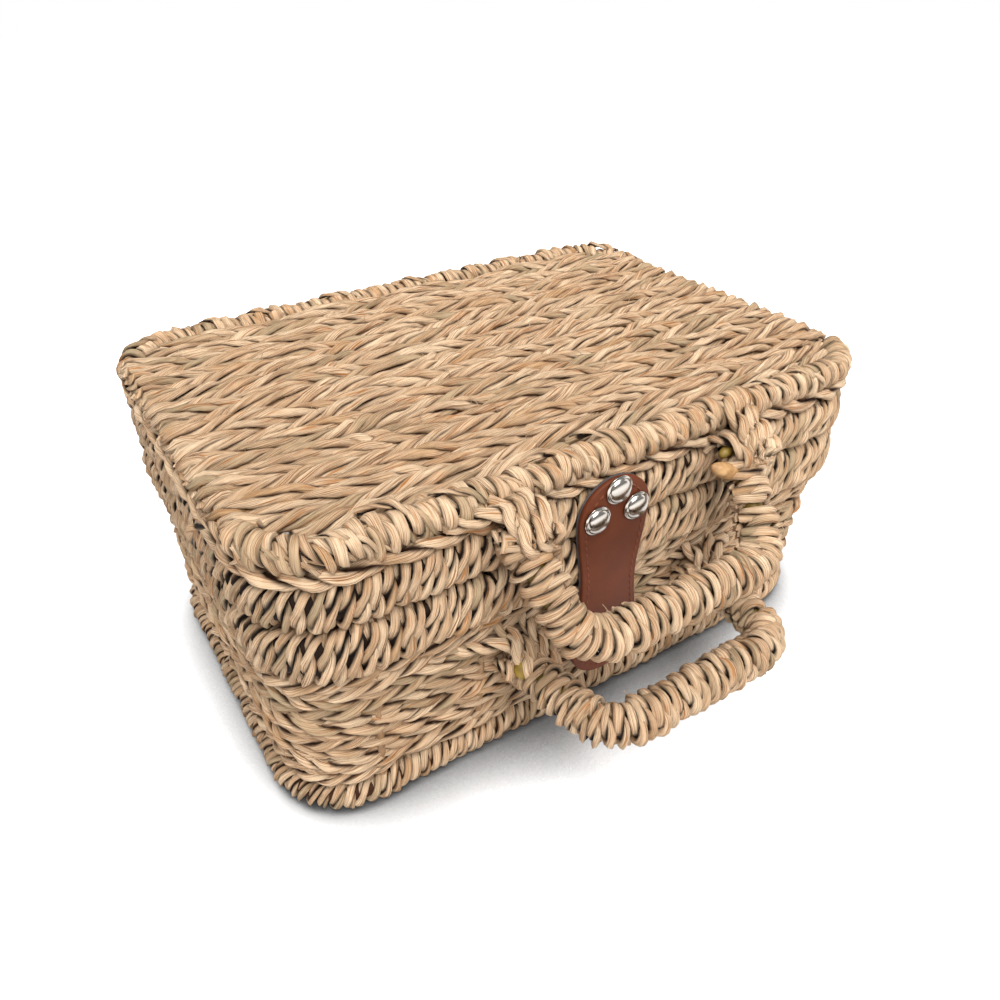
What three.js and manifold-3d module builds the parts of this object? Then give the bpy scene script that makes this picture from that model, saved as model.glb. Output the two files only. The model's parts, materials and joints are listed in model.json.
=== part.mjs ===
// A small woven grass suitcase: a tapered basket with a hinged lid, two cord-wound
// handles on the front and a leather strap that closes on a magnetic snap.
// Millimetres, +Z up, the front is at -Y and the floor rests on Z = 0.
import * as THREE from 'three';
import { mergeVertices } from 'three/addons/utils/BufferGeometryUtils.js';
import Module from 'manifold-3d';

const wasm = await Module();
wasm.setup();

// Plan of the case, measured on the middle line of the lid's rim
const RIM_HALF_WIDTH = 130;
const RIM_HALF_DEPTH = 90;
const CORNER_RADIUS = 26;
const CORNER_STEPS = 4;

// Clearances
const FIT_GAP = 0.3;
const CHANNEL_GAP = 0.3;

// Woven shells
const RIM_RADIUS = 6;
const BAND_THICKNESS = 11;
const BAND_EDGE_RADIUS = 2.5;
const LID_BAND_HEIGHT = 18;
const BASE_BAND_HEIGHT = 21.7;
const SIDE_ROW_HEIGHT = 4.4;
const SIDE_ROW_THICKNESS = 10;
const LID_PANEL_THICKNESS = 6;
const WALL_HEIGHT = 61.2;
const WALL_THICKNESS = 8;
const FOOT_RADIUS = 6.5;
const FOOT_FLAT_DEPTH = 0.3;
const FOOT_FRONT_INSET = 8;
const FOOT_SIDE_INSET = 1;
const FLOOR_THICKNESS = 9;
const PARTING_GAP = 0.8;

// Cane hoops and stakes inside the weave
const HOOP_RADIUS = 2;
const STAKE_RADIUS = 1.6;
const END_STAKE_INSET = 30;
const INNER_STAKE_INSET = 72;
const SHORT_SIDE_STAKES = [0];

// Cord lashings that hinge the lid on the base
const LASHING_INSET = 54;
const LASHING_LOOPS = 3;
const LASHING_CORD_RADIUS = 1.5;
const LASHING_PITCH = 3.8;
const LASHING_STEPS = 14;
const LASHING_CLEARANCE = 0.35;
const NOTCH_CLEARANCE = 0.7;
const NOTCH_SWING_ROOM = 2.2;

// Handles: a bent cane core, its wound cord and the two ties that carry it. A handle's rise is its
// height over the top of the lid's band, or over the bottom of the base's wall.
const CORE_RADIUS = 3.8;
const CORE_BEND = 16;
const CORE_STEPS = 44;
const PIN_LENGTH = 12;
const PIN_BEND = 6;
const WINDING_CORD_RADIUS = 2.3;
const WINDING_CLEARANCE = 0.35;
const WINDING_PITCH = 5.25;
const WINDING_START = 12;
const WINDING_STEPS = 12;
const CORD_SIDES = 5;
const TIE_CORD_RADIUS = 2.2;
const TIE_CLEARANCE = 0.4;
const TIE_WIDENING = 1.3;
const LID_HANDLE = {
  middle: -4, pivotHalfWidth: 49.5, gripHalfWidth: 41.4, reach: 40.8,
  standOff: 6.5, rise: 0.3, droop: 46.6,
};
const BASE_HANDLE = {
  middle: 0, pivotHalfWidth: 46.8, gripHalfWidth: 40.6, reach: 42,
  standOff: 7.2, rise: 39.5, droop: 1.5,
};

// Leather strap, its rivets and the magnetic snap. The strap's rise is its height over the top of the
// lid's band and its fold's rise is over the band's bottom. Rivets are placed below the strap's top, and
// the snap above its lower end.
const STRAP_MIDDLE = -8.8;
const STRAP_RISE = 5.5;
const STRAP_LENGTH = 90.5;
const STRAP_FOLD_RISE = 2;
const STRAP_END_HALF_WIDTH = 15.5;
const STRAP_WAIST_HALF_WIDTH = 12.5;
const STRAP_ROUND_LENGTH = 15.25;
const STRAP_THICKNESS = 3;
const STRAP_OUTLINE_STEPS = 8;
const RIVET_PLACES = [[0, 4.5], [8.7, 14.2], [-8.7, 14.2]];
const RIVET_CAP_RADIUS = 5.6;
const RIVET_CAP_HEIGHT = 2.8;
const RIVET_POST_RADIUS = 1.3;
const RIVET_BURR_RADIUS = 4;
const RIVET_BURR_THICKNESS = 1.2;
const SNAP_RISE = 13;
const SNAP_RADIUS = 6.5;
const SNAP_DISC_THICKNESS = 1.3;
const SNAP_POST_RADIUS = 1.5;
const PATCH_RADIUS = 12;

// Places along the long sides that follow from the case's width
const endStake = RIM_HALF_WIDTH - END_STAKE_INSET;
const innerStake = RIM_HALF_WIDTH - INNER_STAKE_INSET;
const longSideStakes = [-endStake, -innerStake, innerStake, endStake];
const crossStakes = [-innerStake, innerStake];
const lashingPlaces = [-1, 1].map((side) => side * (RIM_HALF_WIDTH - LASHING_INSET));

// Heights that follow from the sizes above
const footCentre = FOOT_RADIUS - FOOT_FLAT_DEPTH;
const wallBottom = footCentre + FOOT_RADIUS + FIT_GAP;
const wallTop = wallBottom + WALL_HEIGHT;
const baseBandBottom = wallTop + FIT_GAP;
const baseBandTop = baseBandBottom + BASE_BAND_HEIGHT;
const baseHoopHeight = baseBandTop - BAND_THICKNESS / 2;
const lidBandBottom = baseBandTop + PARTING_GAP;
const lidBandTop = lidBandBottom + LID_BAND_HEIGHT;
const lidHoopHeight = lidBandBottom + BAND_THICKNESS / 2;
const sideRowMiddle = lidBandTop + FIT_GAP + SIDE_ROW_HEIGHT / 2;
const rimHeight = sideRowMiddle + SIDE_ROW_HEIGHT / 2 + FIT_GAP + RIM_RADIUS;
const strapTop = lidBandTop + STRAP_RISE;
const strapBottom = strapTop - STRAP_LENGTH;
const strapFold = lidBandBottom + STRAP_FOLD_RISE;
const snapHeight = strapBottom + SNAP_RISE;
const bandFront = RIM_HALF_DEPTH + BAND_THICKNESS / 2;
const strapBack = bandFront + FIT_GAP;
const strapFront = strapBack + STRAP_THICKNESS;
const lidHandle = { ...LID_HANDLE, height: lidBandTop + LID_HANDLE.rise };
const baseHandle = { ...BASE_HANDLE, height: wallBottom + BASE_HANDLE.rise };

const grass = new THREE.MeshStandardMaterial({ color: 0xc8a478, roughness: 0.85, metalness: 0 });
const cane = new THREE.MeshStandardMaterial({ color: 0xa98c3a, roughness: 0.6, metalness: 0 });
const leather = new THREE.MeshStandardMaterial({ color: 0x784632, roughness: 0.5, metalness: 0 });
const nickel = new THREE.MeshStandardMaterial({ color: 0xc9c7c2, roughness: 0.2, metalness: 1 });

// Keep positions only, share the vertices and turn the faces outwards.
function tidySolid(geometry) {
  geometry.deleteAttribute('normal');
  geometry.deleteAttribute('uv');
  const merged = mergeVertices(geometry, 1e-4);
  const place = merged.attributes.position;
  const corners = [new THREE.Vector3(), new THREE.Vector3(), new THREE.Vector3()];
  const index = merged.index.array;
  let volume = 0;
  for (let i = 0; i < index.length; i += 3) {
    corners.forEach((corner, k) => corner.fromBufferAttribute(place, index[i + k]));
    volume += corners[0].dot(corners[1].clone().cross(corners[2]));
  }
  if (volume < 0) {
    for (let i = 0; i < index.length; i += 3) {
      [index[i + 1], index[i + 2]] = [index[i + 2], index[i + 1]];
    }
  }
  return merged;
}

function toManifold(geometry) {
  const vertProperties = new Float32Array(geometry.attributes.position.array);
  const triVerts = new Uint32Array(geometry.index.array);
  return new wasm.Manifold(new wasm.Mesh({ numProp: 3, vertProperties, triVerts }));
}

function toGeometry(manifold) {
  const mesh = manifold.getMesh();
  const geometry = new THREE.BufferGeometry();
  geometry.setAttribute('position', new THREE.BufferAttribute(new Float32Array(mesh.vertProperties), 3));
  geometry.setIndex(new THREE.BufferAttribute(new Uint32Array(mesh.triVerts), 1));
  return geometry;
}

// Cut the given tools out of a solid.
function cut(geometry, tools) {
  let result = toManifold(geometry);
  for (const tool of tools) {
    result = result.subtract(toManifold(tool));
  }
  return toGeometry(result);
}

// A strip of quads between rows of points, closed round each row.
function joinRows(rows, closedEnds) {
  const count = rows[0].length;
  const positions = rows.flat().flatMap((point) => [point.x, point.y, point.z]);
  const index = [];
  const last = closedEnds ? rows.length : rows.length - 1;
  for (let i = 0; i < last; i += 1) {
    const next = (i + 1) % rows.length;
    for (let j = 0; j < count; j += 1) {
      const k = (j + 1) % count;
      index.push(i * count + j, i * count + k, next * count + k);
      index.push(i * count + j, next * count + k, next * count + j);
    }
  }
  if (!closedEnds) {
    const end = (rows.length - 1) * count;
    for (let j = 1; j < count - 1; j += 1) {
      index.push(0, j + 1, j);
      index.push(end, end + j, end + j + 1);
    }
  }
  const geometry = new THREE.BufferGeometry();
  geometry.setAttribute('position', new THREE.Float32BufferAttribute(positions, 3));
  geometry.setIndex(index);
  return tidySolid(geometry);
}

// How far the case has leaned in at a height: 0 at the hoop of the base's band, 1 at the foot's.
function leanAt(height) {
  return (baseHoopHeight - height) / (baseHoopHeight - footCentre);
}

// Centres of the plan's round corners where the case leans in by a share of the foot's insets.
function planCorners(lean) {
  const x = RIM_HALF_WIDTH - CORNER_RADIUS - FOOT_SIDE_INSET * lean;
  const y = RIM_HALF_DEPTH - CORNER_RADIUS - FOOT_FRONT_INSET * lean;
  return [[x, y], [-x, y], [-x, -y], [x, -y]];
}

// A section of [offset outwards, height, lean] points carried round the case's rounded plan.
function ringSolid(section) {
  const rows = [];
  for (let corner = 0; corner < 4; corner += 1) {
    for (let step = 0; step <= CORNER_STEPS; step += 1) {
      const angle = (corner + step / CORNER_STEPS) * Math.PI / 2;
      rows.push(section.map(([offset, height, lean = 0]) => {
        const [cornerX, cornerY] = planCorners(lean)[corner];
        const reach = CORNER_RADIUS + offset;
        const x = cornerX + reach * Math.cos(angle);
        const y = cornerY + reach * Math.sin(angle);
        return new THREE.Vector3(x, y, height);
      }));
    }
  }
  return joinRows(rows, true);
}

// Points of an ellipse arc as [offset, height], angles in quarter turns.
function arcPoints(offset, height, radius, from, to, steps, flatness = 1) {
  const points = [];
  for (let step = 0; step <= steps; step += 1) {
    const angle = (from + (to - from) * step / steps) * Math.PI / 2;
    points.push([offset + radius * Math.cos(angle), height + radius * flatness * Math.sin(angle)]);
  }
  return points;
}

function roundSection(offset, height, radius, sides, flatness = 1) {
  return arcPoints(offset, height, radius, 0, 4, sides, flatness).slice(0, sides);
}

// A flat plate with the plan's rounded outline, drawn in by an inset.
// A shape divides an arc twice as finely as it is told, so half the steps match the plan's corners.
function platePanel(inset, lean, bottom, thickness) {
  const shape = new THREE.Shape();
  planCorners(lean).forEach(([x, y], corner) => {
    shape.absarc(x, y, CORNER_RADIUS - inset, corner * Math.PI / 2, (corner + 1) * Math.PI / 2);
  });
  const options = { depth: thickness, bevelEnabled: false, curveSegments: CORNER_STEPS / 2 };
  const plate = new THREE.ExtrudeGeometry(shape, options);
  return tidySolid(plate.translate(0, 0, bottom));
}

// A straight six-sided rod between two points, drawn back at both ends.
function rod(from, to, radius, drawnBack) {
  const along = to.clone().sub(from);
  const length = along.length() - 2 * drawnBack;
  const geometry = new THREE.CylinderGeometry(radius, radius, length, 6);
  const turn = new THREE.Quaternion();
  turn.setFromUnitVectors(new THREE.Vector3(0, 1, 0), along.clone().normalize());
  geometry.applyQuaternion(turn);
  const middle = from.clone().add(to).multiplyScalar(0.5);
  return tidySolid(geometry.translate(middle.x, middle.y, middle.z));
}

// A turned piece on an axis along Y: [radius, distance out of the front] points.
function turnedPiece(profile, x, z, segments) {
  const points = profile.map(([radius, out]) => new THREE.Vector2(radius, -out));
  return tidySolid(new THREE.LatheGeometry(points, segments).translate(x, 0, z));
}

function plug(radius, from, to, x, z, segments) {
  return turnedPiece([[0, from], [radius, from], [radius, to], [0, to]], x, z, segments);
}

// A cord through points, with an even round section and flat ends.
function cordTube(points, radius, sides) {
  const side = new THREE.Vector3();
  const rows = points.map((point, i) => {
    const before = points[Math.max(i - 1, 0)];
    const after = points[Math.min(i + 1, points.length - 1)];
    const along = after.clone().sub(before).normalize();
    if (i === 0) {
      side.set(1, 0, 0).cross(along).normalize();
    }
    side.addScaledVector(along, -side.dot(along)).normalize();
    const other = along.clone().cross(side);
    return Array.from({ length: sides }, (_, j) => {
      const angle = 2 * Math.PI * j / sides;
      const out = side.clone().multiplyScalar(Math.cos(angle)).addScaledVector(other, Math.sin(angle));
      return point.clone().addScaledVector(out, radius);
    });
  });
  return joinRows(rows, false);
}

// Put a straight end, one cord diameter long, on both ends of a wound cord.
function withStraightEnds(points, radius) {
  const last = points.length - 1;
  const start = points[0].clone().sub(points[1]).setLength(2 * radius).add(points[0]);
  const end = points[last].clone().sub(points[last - 1]).setLength(2 * radius).add(points[last]);
  return [start, ...points, end];
}

// The least gap between turns, measured on the cord's points and printed.
function reportLeastGap(name, points, radius, stepsPerLoop) {
  let least = Infinity;
  for (let i = 0; i < points.length; i += 1) {
    for (let j = i + Math.floor(stepsPerLoop / 2); j < points.length; j += 1) {
      least = Math.min(least, points[i].distanceTo(points[j]) - 2 * radius);
    }
  }
  console.log(`${name}: least gap between turns ${least.toFixed(2)} mm`);
}

// Distance of the middle of the sloping front wall from the middle of the case.
function frontWallMiddle(height) {
  return RIM_HALF_DEPTH - FOOT_FRONT_INSET * leanAt(height);
}

function wallSolid(extra) {
  const half = WALL_THICKNESS / 2 + extra;
  return ringSolid([
    [-half, wallBottom, leanAt(wallBottom)],
    [half, wallBottom, leanAt(wallBottom)],
    [half, wallTop, leanAt(wallTop)],
    [-half, wallTop, leanAt(wallTop)],
  ]);
}

// A wrapped band: one end is round about its hoop, the other has small rounded edges.
function bandSection(hoopHeight, flatEnd) {
  const half = BAND_THICKNESS / 2;
  const edge = half - BAND_EDGE_RADIUS;
  const up = Math.sign(flatEnd - hoopHeight);
  const edgeHeight = flatEnd - up * BAND_EDGE_RADIUS;
  return [
    ...arcPoints(0, hoopHeight, half, 2, 4, 6, up),
    ...arcPoints(edge, edgeHeight, BAND_EDGE_RADIUS, 0, 1, 2, up),
    ...arcPoints(-edge, edgeHeight, BAND_EDGE_RADIUS, 1, 2, 2, up),
  ];
}

function footSection() {
  const flatAngle = Math.asin(footCentre / FOOT_RADIUS) / (Math.PI / 2);
  const arc = arcPoints(0, footCentre, FOOT_RADIUS, -flatAngle, 2 + flatAngle, 8);
  return arc.map(([offset, height]) => [offset, height, 1]);
}

// End points of the upright stakes, from a lower to an upper hoop.
function stakeLines(lowLean, low, highLean, high) {
  const lines = [];
  for (const side of [-1, 1]) {
    for (const x of longSideStakes) {
      const y = (lean) => side * (RIM_HALF_DEPTH - FOOT_FRONT_INSET * lean);
      lines.push([new THREE.Vector3(x, y(lowLean), low), new THREE.Vector3(x, y(highLean), high)]);
    }
    for (const y of SHORT_SIDE_STAKES) {
      const x = (lean) => side * (RIM_HALF_WIDTH - FOOT_SIDE_INSET * lean);
      lines.push([new THREE.Vector3(x(lowLean), y, low), new THREE.Vector3(x(highLean), y, high)]);
    }
  }
  return lines;
}

// End points of the stakes that cross the floor or the lid from front to back.
function crossLines(lean, height) {
  const y = RIM_HALF_DEPTH - FOOT_FRONT_INSET * lean;
  return crossStakes.map((x) => [new THREE.Vector3(x, -y, height), new THREE.Vector3(x, y, height)]);
}

function hoop(lean, height, extra = 0) {
  const section = roundSection(0, height, HOOP_RADIUS + extra, 6);
  return ringSolid(section.map(([offset, pointHeight]) => [offset, pointHeight, lean]));
}

const drawBack = HOOP_RADIUS + FIT_GAP;
const stake = ([from, to]) => rod(from, to, STAKE_RADIUS, drawBack);
const stakeChannel = ([from, to]) => rod(from, to, STAKE_RADIUS + CHANNEL_GAP, 0);

// The route of a handle's core in its own plane: X across, reach along -Y, pivot on Y = 0.
function handleRoute(handle) {
  const { pivotHalfWidth, gripHalfWidth, reach } = handle;
  const at = (x, out) => new THREE.Vector3(x, -out, 0);
  const turns = [-1, 1].map((side) => ({
    pin: at(side * (pivotHalfWidth - PIN_LENGTH), 0),
    heel: at(side * pivotHalfWidth, 0),
    knee: at(side * gripHalfWidth, reach),
  }));
  const [left, right] = turns;
  const toward = (from, to, length) => to.clone().sub(from).setLength(length).add(from);
  const kneeAngle = left.heel.clone().sub(left.knee).angleTo(right.knee.clone().sub(left.knee));
  const kneeCut = CORE_BEND / Math.tan(kneeAngle / 2);
  const route = new THREE.CurvePath();
  const stops = [
    [left.heel, left.pin, left.knee, PIN_BEND],
    [left.knee, left.heel, right.knee, kneeCut],
    [right.knee, left.knee, right.heel, kneeCut],
    [right.heel, right.knee, right.pin, PIN_BEND],
  ];
  let end = left.pin;
  for (const [corner, before, after, length] of stops) {
    const enter = toward(corner, before, length);
    const leave = toward(corner, after, length);
    route.add(new THREE.LineCurve3(end, enter));
    route.add(new THREE.QuadraticBezierCurve3(enter, corner, leave));
    end = leave;
  }
  route.add(new THREE.LineCurve3(end, right.pin));
  return route;
}

function handleCore(route) {
  const section = new THREE.Shape();
  section.absarc(0, 0, CORE_RADIUS, 0, 2 * Math.PI);
  const options = { extrudePath: route, steps: CORE_STEPS, curveSegments: 4, bevelEnabled: false };
  return tidySolid(new THREE.ExtrudeGeometry(section, options));
}

// One unbroken cord wound on the core, its pitch opened where the core bends.
function handleWinding(name, route) {
  const radius = CORE_RADIUS + WINDING_CLEARANCE + WINDING_CORD_RADIUS;
  const length = route.getLength();
  const lead = PIN_LENGTH + WINDING_START;
  const across = new THREE.Vector3(0, 0, 1);
  const probe = 2;
  const points = [];
  let turn = 0;
  let along = lead;
  while (along < length - lead) {
    const ahead = route.getTangentAt((along + probe) / length);
    const behind = route.getTangentAt((along - probe) / length);
    const bend = ahead.angleTo(behind) / (2 * probe);
    const tangent = route.getTangentAt(along / length);
    const inward = across.clone().cross(tangent).normalize();
    const angle = 2 * Math.PI * turn / WINDING_STEPS;
    const point = route.getPointAt(along / length);
    point.addScaledVector(inward, radius * Math.cos(angle));
    point.addScaledVector(across, radius * Math.sin(angle));
    points.push(point);
    along += WINDING_PITCH / WINDING_STEPS / Math.max(1 - radius * bend, 0.4);
    turn += 1;
  }
  reportLeastGap(name, points, WINDING_CORD_RADIUS, WINDING_STEPS);
  return cordTube(withStraightEnds(points, WINDING_CORD_RADIUS), WINDING_CORD_RADIUS, CORD_SIDES);
}

// A cord tie round a handle's pin, let into the weave behind it.
function handleTie(handle, side, extra) {
  const radius = CORE_RADIUS + TIE_CLEARANCE + TIE_CORD_RADIUS;
  const ring = new THREE.TorusGeometry(radius, TIE_CORD_RADIUS + extra, 6, 14);
  ring.scale(1, 1, TIE_WIDENING).rotateY(Math.PI / 2);
  const x = handle.middle + side * (handle.pivotHalfWidth - (PIN_LENGTH + PIN_BEND) / 2);
  return tidySolid(ring.translate(x, -handlePivot(handle), handle.height));
}

// Distance of a handle's pivot in front of the middle of the case: it stands off the lid's
// band or the sloping wall.
function handlePivot(handle) {
  const wallFront = frontWallMiddle(handle.height) + WALL_THICKNESS / 2;
  return (handle.height > baseBandTop ? bandFront : wallFront) + handle.standOff;
}

// Cord loops round the two hoops at the back, one unbroken cord.
function hingeLashing(name, x) {
  const radius = HOOP_RADIUS + LASHING_CLEARANCE + LASHING_CORD_RADIUS;
  const count = LASHING_LOOPS * LASHING_STEPS;
  const points = [];
  for (let i = 0; i <= count; i += 1) {
    const angle = 2 * Math.PI * i / LASHING_STEPS;
    const centre = Math.sin(angle) >= 0 ? lidHoopHeight : baseHoopHeight;
    points.push(new THREE.Vector3(
      x + (i / LASHING_STEPS - LASHING_LOOPS / 2) * LASHING_PITCH,
      RIM_HALF_DEPTH + radius * Math.cos(angle),
      centre + radius * Math.sin(angle),
    ));
  }
  reportLeastGap(name, points, LASHING_CORD_RADIUS, LASHING_STEPS);
  return cordTube(withStraightEnds(points, LASHING_CORD_RADIUS), LASHING_CORD_RADIUS, CORD_SIDES);
}

// The room that a lashing needs in both bands. The lid's share is taller, because the lid swings
// round the lashing.
function lashingNotch(x) {
  const width = LASHING_LOOPS * LASHING_PITCH + 2 * (LASHING_CORD_RADIUS + NOTCH_CLEARANCE);
  const bottom = baseHoopHeight - BAND_THICKNESS / 2 - NOTCH_CLEARANCE;
  const top = lidHoopHeight + BAND_THICKNESS / 2 + NOTCH_SWING_ROOM;
  const notch = new THREE.BoxGeometry(width, 2 * BAND_THICKNESS, top - bottom);
  return tidySolid(notch.translate(x, RIM_HALF_DEPTH, (top + bottom) / 2));
}

// Half width of the strap at a height: round ends and a drawn-in waist.
function strapHalfWidth(height) {
  const middle = (strapTop + strapBottom) / 2;
  const straight = (strapTop - strapBottom) / 2 - STRAP_ROUND_LENGTH;
  const away = Math.abs(height - middle);
  if (away > straight) {
    const rise = Math.min((away - straight) / STRAP_ROUND_LENGTH, 1);
    return STRAP_END_HALF_WIDTH * Math.sqrt(1 - rise * rise);
  }
  const share = away / straight;
  const swell = share * share * (3 - 2 * share);
  return STRAP_WAIST_HALF_WIDTH + (STRAP_END_HALF_WIDTH - STRAP_WAIST_HALF_WIDTH) * swell;
}

// The strap's leather between its fold and one round end.
function strapLeather(fold, end) {
  const edge = [];
  for (let step = 0; step < STRAP_OUTLINE_STEPS; step += 1) {
    const share = Math.sin(step / STRAP_OUTLINE_STEPS * Math.PI / 2);
    const height = fold + (end - fold) * share;
    edge.push(new THREE.Vector2(strapHalfWidth(height), height));
  }
  const mirrored = edge.map((point) => new THREE.Vector2(-point.x, point.y)).reverse();
  const shape = new THREE.Shape([...edge, new THREE.Vector2(0, end), ...mirrored]);
  const plate = new THREE.ExtrudeGeometry(shape, { depth: STRAP_THICKNESS, bevelEnabled: false });
  return tidySolid(plate.rotateX(Math.PI / 2).translate(STRAP_MIDDLE, -strapBack, 0));
}

// A domed cap with a stepped rim and a post that runs back through the work.
function domedRivet(capRadius, capHeight, postRadius, seat, postEnd, x, z) {
  return turnedPiece([
    [0, postEnd], [postRadius, postEnd], [postRadius, seat], [capRadius, seat],
    [capRadius, seat + capHeight * 0.3], [capRadius * 0.72, seat + capHeight * 0.75],
    [0, seat + capHeight],
  ], x, z, 12);
}

function washer(radius, hole, from, to, x, z) {
  return turnedPiece([[hole, from], [radius, from], [radius, to], [hole, to], [hole, from]], x, z, 12);
}

const caseGroup = new THREE.Group();
const base = new THREE.Group();
const lid = new THREE.Group();
const strap = new THREE.Group();
caseGroup.add(base, lid, strap);

function add(group, name, geometry, material) {
  const mesh = new THREE.Mesh(geometry, material);
  mesh.name = name;
  group.add(mesh);
}

// Routes of the stakes and the tools that make room for the cane
const baseStakeLines = stakeLines(1, footCentre, 0, baseHoopHeight);
const lidStakeLines = stakeLines(0, lidHoopHeight, 0, rimHeight);
const floorStakeLines = crossLines(1, footCentre);
const panelStakeLines = crossLines(0, rimHeight);
const baseCane = [
  hoop(1, footCentre, CHANNEL_GAP),
  hoop(0, baseHoopHeight, CHANNEL_GAP),
  ...[...baseStakeLines, ...floorStakeLines].map(stakeChannel),
];
const lidCane = [
  hoop(0, lidHoopHeight, CHANNEL_GAP),
  hoop(0, rimHeight, CHANNEL_GAP),
  ...[...lidStakeLines, ...panelStakeLines].map(stakeChannel),
];
const notches = lashingPlaces.map(lashingNotch);
const lidTieRoom = [-1, 1].map((side) => handleTie(lidHandle, side, FIT_GAP));
const baseTieRoom = [-1, 1].map((side) => handleTie(baseHandle, side, FIT_GAP));

// Places of the rivets and the snap
const rivetSpots = RIVET_PLACES.map(([x, drop]) => [STRAP_MIDDLE + x, strapTop - drop]);
const burrFront = RIM_HALF_DEPTH - BAND_THICKNESS / 2 - FIT_GAP;
const burrBack = burrFront - RIVET_BURR_THICKNESS;
const rivetHole = RIVET_POST_RADIUS + CHANNEL_GAP;
const rivetRoom = rivetSpots.map(([x, z]) => plug(rivetHole, burrBack - 1, strapFront + 1, x, z, 8));
const snapHole = SNAP_POST_RADIUS + CHANNEL_GAP;
const socketFront = strapBack - FIT_GAP;
const socketBack = socketFront - SNAP_DISC_THICKNESS;
const studFront = socketBack - FIT_GAP;
const studBack = studFront - SNAP_DISC_THICKNESS;
const patchFront = studBack - FIT_GAP;
const wallMiddle = frontWallMiddle(snapHeight);
const wallBack = wallMiddle - WALL_THICKNESS / 2;
const wallSlope = FOOT_FRONT_INSET / (baseHoopHeight - footCentre);
const studBurrFront = wallBack - FIT_GAP - wallSlope * RIVET_BURR_RADIUS;
const studBurrBack = studBurrFront - RIVET_BURR_THICKNESS;
const studRoom = plug(snapHole, studBurrBack - 1, patchFront + 1, STRAP_MIDDLE, snapHeight, 8);
const capRoom = plug(snapHole, strapBack - 1, strapFront + 1, STRAP_MIDDLE, snapHeight, 8);

// Base: floor, wall, wrapped foot and band, and the cane inside them
const floorInset = FOOT_RADIUS + FIT_GAP;
add(base, 'base_floor_panel', cut(platePanel(floorInset, 1, 0, FLOOR_THICKNESS), baseCane), grass);
add(base, 'base_wall', cut(wallSolid(0), [...baseCane, ...baseTieRoom, studRoom]), grass);
add(base, 'base_foot_wrap', cut(ringSolid(footSection()), baseCane), grass);
const baseBand = ringSolid(bandSection(baseHoopHeight, baseBandBottom));
add(base, 'base_band_wrap', cut(baseBand, [...baseCane, ...notches]), grass);
add(base, 'base_foot_hoop', hoop(1, footCentre), cane);
add(base, 'base_band_hoop', hoop(0, baseHoopHeight), cane);
baseStakeLines.forEach((line, i) => add(base, `base_stake_${i + 1}`, stake(line), cane));
floorStakeLines.forEach((line, i) => add(base, `floor_stake_${i + 1}`, stake(line), cane));

// Lid: panel, wrapped rim, side row and band, and the cane inside them
const panelBottom = rimHeight - LID_PANEL_THICKNESS / 2;
const lidPanel = platePanel(RIM_RADIUS + FIT_GAP, 0, panelBottom, LID_PANEL_THICKNESS);
add(lid, 'lid_top_panel', cut(lidPanel, lidCane), grass);
const lidRim = ringSolid(roundSection(0, rimHeight, RIM_RADIUS, 10));
add(lid, 'lid_rim_wrap', cut(lidRim, [...lidCane, ...lidTieRoom]), grass);
const rowFlatness = SIDE_ROW_HEIGHT / SIDE_ROW_THICKNESS;
const sideRow = ringSolid(roundSection(0, sideRowMiddle, SIDE_ROW_THICKNESS / 2, 8, rowFlatness));
add(lid, 'lid_side_row', cut(sideRow, [...lidCane, ...lidTieRoom, ...rivetRoom]), grass);
const lidBand = ringSolid(bandSection(lidHoopHeight, lidBandTop));
add(lid, 'lid_band_wrap', cut(lidBand, [...lidCane, ...notches, ...lidTieRoom, ...rivetRoom]), grass);
add(lid, 'lid_band_hoop', hoop(0, lidHoopHeight), cane);
add(lid, 'lid_rim_hoop', hoop(0, rimHeight), cane);
lidStakeLines.forEach((line, i) => add(lid, `lid_stake_${i + 1}`, stake(line), cane));
panelStakeLines.forEach((line, i) => add(lid, `lid_panel_stake_${i + 1}`, stake(line), cane));

// Hinge lashings at the back
lashingPlaces.forEach((x, i) => {
  const name = `hinge_lashing_${['left', 'right'][i]}`;
  add(base, name, hingeLashing(name, x), grass);
});

// Handles: each swings on its two ties
for (const [handle, owner, name] of [[lidHandle, lid, 'lid_handle'], [baseHandle, base, 'base_handle']]) {
  add(owner, `${name}_tie_left`, handleTie(handle, -1, 0), grass);
  add(owner, `${name}_tie_right`, handleTie(handle, 1, 0), grass);
  const route = handleRoute(handle);
  const swing = new THREE.Group();
  swing.position.set(handle.middle, -handlePivot(handle), handle.height);
  swing.rotation.x = THREE.MathUtils.degToRad(handle.droop);
  add(swing, `${name}_core`, handleCore(route), cane);
  add(swing, `${name}_winding`, handleWinding(`${name}_winding`, route), grass);
  caseGroup.add(swing);
}

// Strap: the riveted end, the loose flap and the snap halves
const anchor = strapLeather(strapFold + FIT_GAP / 2, strapTop);
add(lid, 'strap_anchor', cut(anchor, rivetRoom), leather);
const rivetSeat = strapFront + FIT_GAP;
rivetSpots.forEach(([x, z], i) => {
  const sizes = [RIVET_CAP_RADIUS, RIVET_CAP_HEIGHT, RIVET_POST_RADIUS];
  add(lid, `strap_rivet_${i + 1}`, domedRivet(...sizes, rivetSeat, burrBack, x, z), nickel);
  add(lid, `strap_burr_${i + 1}`, washer(RIVET_BURR_RADIUS, rivetHole, burrBack, burrFront, x, z), nickel);
});
const flap = strapLeather(strapFold - FIT_GAP / 2, strapBottom);
add(strap, 'strap_flap', cut(flap, [capRoom]), leather);
const [snapX, snapZ] = [STRAP_MIDDLE, snapHeight];
const capSizes = [SNAP_RADIUS, RIVET_CAP_HEIGHT, SNAP_POST_RADIUS];
add(strap, 'snap_cap', domedRivet(...capSizes, rivetSeat, strapBack, snapX, snapZ), nickel);
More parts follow.
